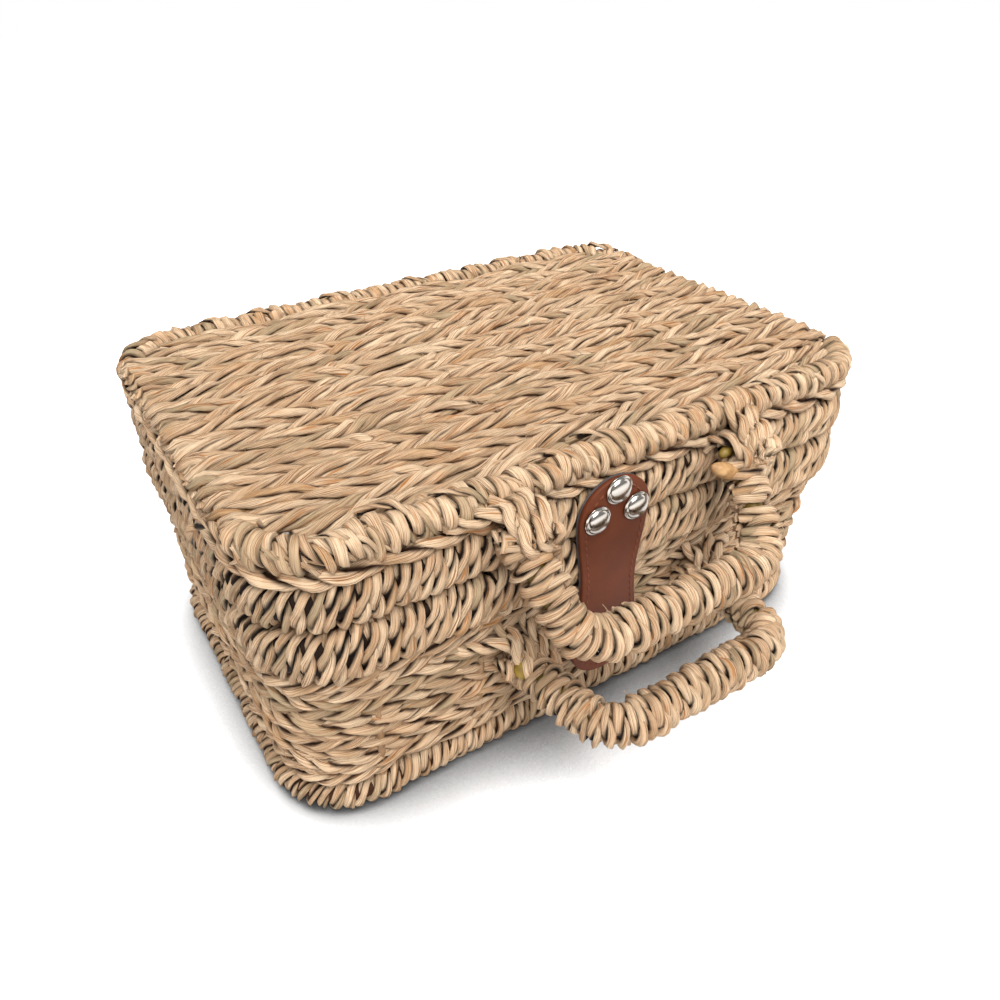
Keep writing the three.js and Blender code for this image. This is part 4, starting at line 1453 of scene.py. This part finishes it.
@dataclass
class Handle:
    """A cane handle wound with strand, and the two cord ties that it swings on."""

    shop: Workshop
    body: Body
    owner: Body
    joint: str
    pivot_half_width: float
    grip_half_width: float
    reach: float
    droop: float
    winding: WrapSizes
    tie_cords: dict[int, tuple[TieCord, ...]]
    tie_insets: dict[int, float]
    cane_ends: tuple[CaneEnd, ...]
    fibres: FibreSizes = FibreSizes(6 * MM, 4 * MM, 8 * MM)
    fibreless_turns: int = 8
    pin_length: float = 5 * MM
    pin_bend: float = 4.5 * MM
    core_bend: float = 16 * MM
    core_radius: float = 3.8 * MM
    bend_steps: int = 6
    grip_radius: float = 8.75 * MM
    turn_spacing: float = 4.9 * MM
    bend_closeness: float = 0.7
    winding_half: float = 2.9 * MM
    tie_radius: float = 9.2 * MM
    tie_places: tuple[float, ...] = (-5.7 * MM, -1.9 * MM, 1.9 * MM, 5.7 * MM)
    tie_wrap: WrapSizes = WrapSizes(6 * MM, 0.3, 1.8 * MM, 1.2 * MM, 20 * MM, 0.6)
    tie_end_places: tuple[float, ...] = (7.4 * MM, 8.8 * MM)
    tie_end_share: float = 0.42
    tie_end_wrap: WrapSizes = WrapSizes(3 * MM, 0.2, 1.9 * MM, 1.2 * MM, 16 * MM, 0.4)
    tie_cord: CordSizes = CordSizes(2.2 * MM, 1.6 * MM, 15 * MM, step=1.4 * MM, waver=0.9 * MM)
    tie_cord_steps: int = 6
    root_depth: float = 2 * MM
    cord_half: float = 2.1 * MM

    def out(self) -> Vector:
        """The direction in which the handle stands out at rest."""
        return Vector((0, -math.cos(self.droop), -math.sin(self.droop)))

    def route(self) -> Points:
        """Follow the core from one pin to the other, with round bends.

        Returns:
            The core's middle line.
        """
        pivot = joint_place(self.joint)
        across = Vector((1, 0, 0))
        corners = []
        for side in (-1, 1):
            pin = pivot + across * side * (self.pivot_half_width - self.pin_length)
            heel = pivot + across * side * self.pivot_half_width
            knee = pivot + across * side * self.grip_half_width + self.out() * self.reach
            corners += [pin, heel, knee] if side < 0 else [knee, heel, pin]
        points = [corners[0]]
        knee_angle = (corners[1] - corners[2]).angle(corners[3] - corners[2])
        knee_cut = self.core_bend / math.tan(knee_angle / 2)
        cuts = [self.pin_bend, knee_cut, knee_cut, self.pin_bend]
        for before, corner, after, length in zip(corners, corners[1:], corners[2:], cuts):
            enter = corner + (before - corner).normalized() * length
            leave = corner + (after - corner).normalized() * length
            for step in range(self.bend_steps + 1):
                share = step / self.bend_steps
                points.append(enter.lerp(corner, share).lerp(corner.lerp(leave, share), share))
        return points + [corners[-1]]

    def turns(self, route: Points) -> Points:
        """Space the winding's turns along the core, closer together in its bends.

        Args:
            route: The core's middle line.

        Returns:
            The middle of each turn.
        """
        fine = []
        for here, there in zip(route, route[1:]):
            count = max(round((there - here).length / MM), 1)
            fine += [here.lerp(there, step / count) for step in range(count)]
        places = [fine[0]]
        room = 0.0
        for before, here, after in zip(fine, fine[1:], fine[2:]):
            bend = (here - before).angle(after - here, 0.0)
            room += (here - before).length + self.bend_closeness * bend * self.grip_radius
            if room >= self.turn_spacing:
                places.append(here)
                room -= self.turn_spacing
        return places

    def tie_middle(self, side: int) -> Vector:
        """The middle of a tie on the handle's pin: -1 for the left tie, 1 for the right one."""
        inward = self.pivot_half_width - self.tie_insets[side]
        return joint_place(self.joint) + Vector((side * inward, 0, 0))

    def tie_tails(self, side: int) -> list[Points]:
        """Lead the tie's cords out of the weave, over the pin and under it again.

        Args:
            side: -1 for the left tie, 1 for the right one.

        Returns:
            The middle line of each cord.
        """
        middle = self.tie_middle(side)
        radius = self.tie_radius
        tails = []
        for cord in self.tie_cords[side]:
            root = middle + Vector((side * cord.root, radius + self.root_depth, cord.root_rise))
            rise = middle + Vector((side * cord.over, 0.2 * radius, 1.1 * radius))
            front = middle + Vector((side * cord.front, -radius, 0.1 * radius))
            under = middle + Vector((side * cord.front * 0.6, 0.2 * radius, -0.95 * radius))
            corners = [root, root.lerp(rise, 0.6), rise, front, under]
            tails.append(smooth_path(corners, self.tie_cord_steps))
        return tails

    def tie(self, side: int, word: str) -> None:
        """Wrap a tie's lump of strands round the pin, close its end, and lead its cords into the weave.

        Args:
            side: -1 for the left tie, 1 for the right one.
            word: The tie's side in words.
        """
        tie_name = self.body.value + "_tie_"
        middle = self.tie_middle(side)
        across = 2 * (self.tie_radius - self.cord_half)
        path = [middle + Vector((place, 0, 0)) for place in self.tie_places]
        sizes = replace(self.tie_wrap, advance=side * self.tie_wrap.advance)
        lump_name = f"{tie_name}strands_{word}"
        self.shop.wraps(lump_name, [path], Loop.round(across), sizes, self.owner, (tie_name + word,))
        path = [middle + Vector((side * place, 0, 0)) for place in self.tie_end_places]
        sizes = replace(self.tie_end_wrap, advance=side * self.tie_end_wrap.advance)
        loop = Loop.round(across * self.tie_end_share)
        self.shop.wraps(f"{tie_name}end_{word}", [path], loop, sizes, self.owner)
        self.shop.cords(f"{tie_name}cords_{word}", self.tie_tails(side), self.tie_cord, self.owner)

    def show_ends(self) -> None:
        """Round off the cut ends of the cane where they look out of the ties."""
        for number, end in enumerate(self.cane_ends, 1):
            shape = bmesh.new()
            turn = Vector(end.toward).to_track_quat("Z", "Y").to_matrix().to_4x4()
            size = Matrix.Diagonal((end.radius, end.radius, end.half_length, 1.0))
            place = Matrix.Translation(joint_place(self.joint) + Vector(end.place)) @ turn @ size
            bmesh.ops.create_uvsphere(shape, u_segments=20, v_segments=14, radius=1.0, matrix=place)
            piece = smooth_piece(f"{self.body.value}_cane_end_{number}", shape)
            piece.data.materials.append(self.shop.shaved_cane if end.shaved else self.shop.olive_cane)
            finish_piece(piece, self.body)

    def build(self) -> None:
        """Make the core, its winding and the two ties."""
        name = self.body.value
        route = self.route()
        inputs = {"Radius": self.core_radius, "Material": self.shop.olive_cane}
        core = self.shop.rods.grow(name + "_cane", curve_data(name, [route]), inputs)
        finish_piece(core, self.body, (name + "_core",))
        # The outermost turns would lie inside the ties.
        wound = self.turns(route[2:-2])[1:-1]
        loop = Loop.round(2 * (self.grip_radius - self.winding_half))
        upward = self.out().cross(Vector((1, 0, 0)))
        self.shop.wraps(name + "_strands", [wound], loop, self.winding, self.body, (name + "_winding",),
                        Upward=upward)
        self.show_ends()
        self.tie(-1, "left")
        self.tie(1, "right")
        middle = wound[self.fibreless_turns:-self.fibreless_turns]
        self.shop.loose_fibres(name + "_stray_fibres", [middle], self.fibres, self.body)


def lid_handle(shop: Workshop) -> Handle:
    """The lid's handle, which hangs from ties under the rim.

    Args:
        shop: The workshop that makes it.

    Returns:
        The handle.
    """
    left = (TieCord(24 * MM, 5 * MM, 8 * MM, 5 * MM), TieCord(15 * MM, 10 * MM, 3 * MM, 0.0),
            TieCord(3 * MM, 11 * MM, -3 * MM, -5 * MM))
    right = (TieCord(7 * MM, 14 * MM, 4 * MM, 4 * MM), TieCord(-1 * MM, 15 * MM, -1 * MM, -1 * MM),
             TieCord(13 * MM, 10 * MM, 7 * MM, 7 * MM))
    shaved = CaneEnd((40 * MM, -5 * MM, -3.4 * MM), (0.88, -0.15, -0.45), 3.1 * MM, 8.5 * MM, True)
    bare = CaneEnd((42 * MM, -1.0 * MM, 2.2 * MM), (1.0, 0.0, 0.3), 1.9 * MM, 3.2 * MM, False)
    return Handle(
        shop, Body.LID_HANDLE, Body.LID, "lid_handle_swing",
        pivot_half_width=49.5 * MM, grip_half_width=41.4 * MM, reach=40.8 * MM, droop=math.radians(46.6),
        winding=WrapSizes(4.9 * MM, 0.13, 2.0 * MM, 1.25 * MM, 26 * MM, 0.5),
        tie_cords={-1: left, 1: right}, tie_insets={-1: 5 * MM, 1: -1.5 * MM}, cane_ends=(shaved, bare),
    )


def base_handle(shop: Workshop) -> Handle:
    """The base's handle, which stands out from ties in the wall.

    Args:
        shop: The workshop that makes it.

    Returns:
        The handle.
    """
    cords = (TieCord(24 * MM, 9 * MM, 7 * MM, 5 * MM), TieCord(10 * MM, 14 * MM, 3 * MM, 0.0),
             TieCord(-4 * MM, 13 * MM, -3 * MM, -5 * MM))
    bare = CaneEnd((-50.5 * MM, -6 * MM, 4 * MM), (-0.45, -0.7, 0.55), 3.6 * MM, 3 * MM, False)
    return Handle(
        shop, Body.BASE_HANDLE, Body.BASE, "base_handle_swing",
        pivot_half_width=46.8 * MM, grip_half_width=40.6 * MM, reach=42 * MM, droop=math.radians(1.5),
        winding=WrapSizes(7 * MM, 0.13, 2.0 * MM, 1.25 * MM, 19 * MM, 0.5),
        tie_cords={-1: cords, 1: cords}, tie_insets={-1: 3 * MM, 1: 3 * MM}, cane_ends=(bare,),
    )


@dataclass
class Hinge:
    """The cord lashings that hold the lid to the base at the back."""

    shop: Workshop
    cord: CordSizes = CordSizes(0.85 * MM, 0.7 * MM, 7 * MM, step=0.8 * MM, waver=0.3 * MM)
    cord_radius: float = 1.5 * MM
    loops: int = 3
    steps: int = 20

    def strand(self, node: str) -> Points:
        """Lead a lashing's cord round both hoops.

        Args:
            node: The CAD lashing that the cord stands for.

        Returns:
            The cord's middle line.
        """
        low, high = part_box(node)
        radius = (high.y - low.y) / 2 - self.cord_radius
        middle = (high.y + low.y) / 2
        left = low.x + 2 * self.cord_radius
        right = high.x - 2 * self.cord_radius
        count = self.loops * self.steps
        points = []
        for index in range(count + 1):
            angle = TURN * index / self.steps
            centre = high.z if math.sin(angle) >= 0 else low.z
            toward = -1 if math.sin(angle) >= 0 else 1
            centre += toward * (radius + self.cord_radius)
            x = left + (right - left) * index / count
            y = middle + radius * math.cos(angle)
            points.append(Vector((x, y, centre + radius * math.sin(angle))))
        return points

    def build(self) -> None:
        """Twist both lashings."""
        for node in ("hinge_lashing_left", "hinge_lashing_right"):
            self.shop.cords(node + "_cord", [self.strand(node)], self.cord, Body.BASE, (node,))


@dataclass
class Strap:
    """The leather strap with its backing, stitches, rivets and magnetic snap."""

    shop: Workshop
    end_half_width: float = 15.5 * MM
    waist_half_width: float = 12.5 * MM
    round_length: float = 15.25 * MM
    backing_thickness: float = 1.0 * MM
    edge_round: float = 0.6 * MM
    stitch_inset: float = 2.4 * MM
    outline_steps: int = 40
    row_height: float = 2.5 * MM
    bend_length: float = 8 * MM
    cap_seat: float = 0.3 * MM
    cap_post: float = 0.2
    cap_edge: Profile = ((0.97, 0), (1.0, 0.08), (1.0, 0.2), (0.96, 0.28), (0.9, 0.3))
    dome_radius: float = 0.86
    dome_start: float = 0.36
    dome_steps: int = 10
    stud_depth: float = 1.3 * MM

    def __post_init__(self) -> None:
        """Read the strap's place from the frame."""
        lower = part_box("strap_flap")
        self.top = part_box("strap_anchor")[1].z
        self.bottom = lower[0].z
        self.front = lower[0].y
        self.back = lower[1].y
        self.middle = (lower[0].x + lower[1].x) / 2
        self.seat = self.front - self.cap_seat

    def half_width(self, height: float) -> float:
        """Half the strap's width: round ends and a drawn-in waist.

        Args:
            height: Height on the strap.

        Returns:
            Half the width there.
        """
        straight = (self.top - self.bottom) / 2 - self.round_length
        away = abs(height - (self.top + self.bottom) / 2)
        if away > straight:
            rise = min((away - straight) / self.round_length, 1.0)
            return self.end_half_width * math.sqrt(1 - rise * rise)
        share = away / straight
        swell = share * share * (3 - 2 * share)
        return self.waist_half_width + (self.end_half_width - self.waist_half_width) * swell

    def outline(self, y: float, inset: float) -> Points:
        """Follow the strap's edge on one side of the leather.

        Args:
            y: Distance of the outline along Y.
            inset: How far inside the edge it runs.

        Returns:
            The outline's points, once round.
        """
        half = (self.top - self.bottom) / 2
        middle = (self.top + self.bottom) / 2
        points = []
        for side in (1, -1):
            for step in range(self.outline_steps):
                height = middle - side * half * math.cos(math.pi * step / self.outline_steps)
                shrunk = middle + (height - middle) * (half - inset) / half
                width = max(self.half_width(height) - inset, 0.0)
                points.append(Vector((self.middle + side * width, y, shrunk)))
        return points

    def layer(self, name: str, back: float, front: float, material: Material) -> Piece:
        """Cut one layer of the strap, with rounded edges and rows that let it bend.

        Args:
            name: The layer's name.
            back: Its back along Y.
            front: Its front along Y.
            material: Its finish.

        Returns:
            The finished mesh object.
        """
        shape = bmesh.new()
        face = shape.faces.new([shape.verts.new(point) for point in self.outline(back, 0.0)])
        grown = bmesh.ops.extrude_face_region(shape, geom=[face])
        moved = [item for item in grown["geom"] if isinstance(item, bmesh.types.BMVert)]
        bmesh.ops.translate(shape, verts=moved, vec=(0, front - back, 0))
        bmesh.ops.recalc_face_normals(shape, faces=shape.faces)
        rims = [edge for edge in shape.edges if abs(edge.verts[0].co.y - edge.verts[1].co.y) < 1e-7]
        bmesh.ops.bevel(shape, geom=rims, offset=self.edge_round, segments=3, profile=0.5, affect="EDGES")
        height = self.bottom + self.row_height
        while height < self.top:
            everything = shape.verts[:] + shape.edges[:] + shape.faces[:]
            bmesh.ops.bisect_plane(shape, geom=everything, plane_co=(0, 0, height), plane_no=(0, 0, 1))
            height += self.row_height
        bmesh.ops.recalc_face_normals(shape, faces=shape.faces)
        piece = smooth_piece(name, shape, sharp=50)
        piece.data.materials.append(material)
        return piece

    def bend(self, piece: Piece, nodes: tuple[str, ...] = ()) -> None:
        """Bake a strap piece's place into its mesh and let it stand for its CAD nodes.

        Args:
            piece: The finished object.
            nodes: The CAD nodes that it replaces.
        """
        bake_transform(piece)
        if nodes:
            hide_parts(*nodes)
        LOG.info("%s: %d faces, bends", piece.name, len(piece.data.polygons))

    def build(self) -> None:
        """Make the leather, the stitches and the metal."""
        split = self.back - self.backing_thickness
        leather = self.layer("strap_leather", split, self.front, self.shop.leather)
        self.bend(leather, ("strap_anchor", "strap_flap"))
        self.bend(self.layer("strap_backing", self.back, split, self.shop.backing))
        line = curve_data("strap_stitches", [self.outline(self.front, self.stitch_inset)], True)
        self.bend(self.shop.stitches.grow("strap_stitches", line, {"Material": self.shop.thread}))
        self.rivets()
        self.snap()

    def domed_cap(self, node: str) -> Piece:
        """Turn a domed cap with a stepped edge, at the size of a CAD rivet.

        Args:
            node: The CAD rivet.

        Returns:
            The turned cap with its post, about the middle of its seat.
        """
        low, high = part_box(node)
        radius = (high.x - low.x) / 2
        tall = self.seat - low.y
        post = low.y + tall - high.y
        profile = [(0, post), (self.cap_post * radius, post), (self.cap_post * radius, 0)]
        profile += [(share * radius, out * tall) for share, out in self.cap_edge]
        for step in range(self.dome_steps + 1):
            angle = step / self.dome_steps * TURN / 4
            rise = self.dome_start + (1 - self.dome_start) * math.sin(angle)
            profile.append((self.dome_radius * radius * math.cos(angle), rise * tall))
        return turned_mesh(node + "_cap", profile)

    def rivets(self) -> None:
        """Set the three rivets through the lid, with their burrs inside."""
        caps = tuple(f"strap_rivet_{number}" for number in (1, 2, 3))
        burrs = tuple(f"strap_burr_{number}" for number in (1, 2, 3))
        spots = [(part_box(node)[0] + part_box(node)[1]) / 2 for node in caps]
        places = [Vector((spot.x, self.seat, spot.z)) for spot in spots]
        piece = self.shop.placed("strap_rivets", self.domed_cap(caps[0]), places)
        finish_piece(piece, Body.LID, caps)
        low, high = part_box(burrs[0])
        places = [Vector((spot.x, (low.y + high.y) / 2, spot.z)) for spot in spots]
        piece = self.shop.placed("strap_burrs", self.washer("burr", low, high), places)
        finish_piece(piece, Body.LID, burrs)

    @staticmethod
    def washer(name: str, low: Vector, high: Vector) -> Piece:
        """Turn a flat round piece with soft edges that fills a box.

        Args:
            name: The piece's name.
            low: The box's least corner.
            high: Its greatest corner.

        Returns:
            The turned object, about the origin.
        """
        half = (high.y - low.y) / 2
        radius = (high.x - low.x) / 2
        soft = half * 0.6
        near = soft * 0.3
        edge = [(radius - soft, half), (radius - near, half - near), (radius, half - soft)]
        back = [(out, -rise) for out, rise in edge]
        return turned_mesh(name, [(0, -half), *back, *edge[::-1], (0, half)])

    def disc(self, node: str, body: Body, depth: float | None = None) -> None:
        """Set a nickel disc of the snap at its CAD node's place.

        Args:
            node: The CAD node.
            body: The body that the disc moves with.
            depth: The disc's depth from its front, or None for all of the node's depth.
        """
        low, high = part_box(node)
        if depth is not None:
            high = Vector((high.x, low.y + depth, high.z))
        model = self.washer(node + "_disc", low, high)
        piece = self.shop.placed(node + "_metal", model, [(low + high) / 2])
        finish_piece(piece, body, (node,))

    def snap(self) -> None:
        """Set the snap's cap and socket on the strap, and its stud, burr and patch on the base."""
        low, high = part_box("snap_cap")
        place = Vector(((low.x + high.x) / 2, self.seat, (low.z + high.z) / 2))
        cap = self.shop.placed("snap_cap_metal", self.domed_cap("snap_cap"), [place])
        finish_piece(cap, Body.STRAP, ("snap_cap",))
        self.disc("snap_socket", Body.STRAP)
        self.disc("snap_stud", Body.BASE, self.stud_depth)
        self.disc("snap_stud_burr", Body.BASE)
        low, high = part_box("snap_patch")
        patch = self.washer("snap_patch_leather", low, high)
        patch.data.transform(Matrix.Translation((low + high) / 2))
        patch.data.materials.append(self.shop.leather)
        finish_piece(patch, Body.BASE, ("snap_patch",))


@dataclass
class CaneFrame:
    """The cane hoops and stakes inside the weave, which keep their own solids."""

    shop: Workshop
    words: tuple[str, ...] = ("hoop", "stake")

    def build(self) -> None:
        """Dress the lid's side stakes in pale cane and the rest in a darker copy that paints the shade
        inside the weave.
        """
        for name, node in frame["nodes"].items():
            if any(word in name for word in self.words):
                pale = name.startswith("lid_stake")
                node.data.materials.clear()
                node.data.materials.append(self.shop.pale_cane if pale else self.shop.straw_cane)


@dataclass(frozen=True)
class Lamp:
    """A soft square lamp: where it hangs, its side length, and its power in watts."""

    name: str
    place: Triple
    size: float
    power: float


@dataclass
class Studio:
    """Camera, light and floor of the picture."""

    target: Triple = (3.78 * MM, -3.94 * MM, 52.78 * MM)
    azimuth: float = math.radians(-32.63)
    elevation: float = math.radians(34.23)
    roll: float = math.radians(-0.38)
    distance: float = 380.83 * MM
    focal_pixels: float = 798.64
    picture_width: float = 1000.0
    sensor: float = 36.0
    lamps: tuple[Lamp, ...] = (
        Lamp("key_light", (-0.35, -1.0, 1.5), 1.2, 60.0),
        Lamp("top_light", (0.1, 0.0, 1.8), 1.2, 9.0),
        Lamp("right_light", (1.5, -0.5, 0.5), 1.0, 6.0),
    )
    sky: float = 0.45
    floor_size: float = 4.0
    floor_grey: float = 0.72
    # Painted contact shadow: the floor's darkest grey, and how far the occlusion that paints it reaches.
    contact_grey: float = 0.08
    contact_reach: float = 50 * MM
    fade_start: float = 0.2
    fade_end: float = 0.45
    clear_glow: float = 0.6
    clear_start: float = 0.5
    clear_end: float = 0.95
    shadow_side: Triple = (0.4, -0.92, 0.0)
    shadow_edge: float = 60 * MM
    lit_shift: float = 0.12
    shadow_shift: float = -0.14

    def build(self) -> None:
        """Place the camera, the lamps, the world and the floor."""
        self.camera()
        for lamp in self.lamps:
            self.hang(lamp)
        self.world()
        self.floor()
        bpy.context.scene.view_settings.view_transform = "Standard"

    def camera(self) -> None:
        """Put the camera at the photograph's viewing angle."""
        back = Vector((
            math.sin(self.azimuth) * math.cos(self.elevation),
            -math.cos(self.azimuth) * math.cos(self.elevation),
            math.sin(self.elevation),
        ))
        data = bpy.data.cameras.new("camera")
        data.sensor_width = self.sensor
        data.lens = self.focal_pixels * self.sensor / self.picture_width
        camera = bpy.data.objects.new("camera", data)
        camera.location = Vector(self.target) + back * self.distance
        level = back.to_track_quat("Z", "Y")
        camera.rotation_euler = (level @ Quaternion((0, 0, 1), self.roll)).to_euler()
        bpy.context.scene.collection.objects.link(camera)
        bpy.context.scene.camera = camera

    def hang(self, lamp: Lamp) -> None:
        """Hang a lamp so that it looks at the case.

        Args:
            lamp: The lamp.
        """
        data = bpy.data.lights.new(lamp.name, "AREA")
        data.size = lamp.size
        data.energy = lamp.power
        light = bpy.data.objects.new(lamp.name, data)
        light.location = lamp.place
        back = Vector(lamp.place) - Vector(self.target)
        light.rotation_euler = back.to_track_quat("Z", "Y").to_euler()
        bpy.context.scene.collection.objects.link(light)

    def world(self) -> None:
        """Light the case softly from all round, with a white background in view."""
        world = bpy.data.worlds.new("studio")
        world.use_nodes = True
        bpy.context.scene.world = world
        graph = Graph(world.node_tree)
        looking = graph.add("ShaderNodeLightPath").outputs["Is Camera Ray"]
        power = graph.ranged(looking, 0.0, 1.0, (self.sky, 1.0))
        graph.feed(world.node_tree.nodes["Background"], {"Color": (1.0, 1.0, 1.0, 1.0), "Strength": power})

    def floor(self) -> None:
        """Lay a white floor that keeps the lamps' shadow of the case, paints a contact shadow near it,
        deeper towards the front, and is white further off.
        """
        size = self.floor_size
        mesh = bpy.data.meshes.new("floor")
        corners = [(-size, -size, 0), (size, -size, 0), (size, size, 0), (-size, size, 0)]
        mesh.from_pydata(corners, [], [(0, 1, 2, 3)])
        shader = Shader("white_floor")
        # Painted contact shadow: ambient occlusion turns the floor's colour dark grey close to the case.
        feeds = {"Distance": self.contact_reach}
        bare = shader.add("ShaderNodeAmbientOcclusion", feeds, samples=8).outputs["AO"]
        dark, grey = (self.contact_grey,) * 3, (self.floor_grey,) * 3
        colour = shader.ramp(bare, [(0.4, (*dark, 1.0)), (0.9, (*grey, 1.0))])
        spot = shader.spot()
        away = shader.add("ShaderNodeVectorMath", {"Vector": spot}, operation="LENGTH").outputs["Value"]
        far = shader.ranged(away, self.fade_start, self.fade_end, interpolation_type="SMOOTHSTEP")
        # Painted shadow side: towards the front the floor's glow is lowered, so the painted shadow is
        # deeper there and lighter at the back and left.
        toward = shader.dot(spot, self.shadow_side)
        lift = shader.ranged(toward, 0.0, self.shadow_edge, (self.lit_shift, self.shadow_shift))
        # The glow whitens the floor where the occlusion finds it open, which keeps the painted and the
        # cast shadows close round the case.
        clear = shader.ranged(shader.math("ADD", bare, lift), self.clear_start, self.clear_end)
        glow = shader.math("MAXIMUM", far, shader.math("MULTIPLY", clear, self.clear_glow))
        rays = shader.add("ShaderNodeLightPath").outputs
        seen = shader.math("MAXIMUM", rays["Is Camera Ray"], rays["Is Glossy Ray"])
        seen = shader.math("MAXIMUM", seen, rays["Is Transmission Ray"])
        power = shader.math("MULTIPLY", glow, seen)
        material = shader.finish(Base_Color=colour, Roughness=0.95, Specular_IOR_Level=0.0,
                                 Emission_Color=(1.0, 1.0, 1.0, 1.0), Emission_Strength=power)
        mesh.materials.append(material)
        link_mesh("floor", mesh)


def main() -> None:
    """Build the studio and the pieces of the case, in order."""
    logging.basicConfig(level=logging.INFO, format="%(name)s: %(message)s")
    Studio().build()
    shop = Workshop()
    Weave(RimPlan.from_frame(), shop).build()
    lid_handle(shop).build()
    base_handle(shop).build()
    Hinge(shop).build()
    Strap(shop).build()
    CaneFrame(shop).build()


if __name__ == "__main__":
    main()
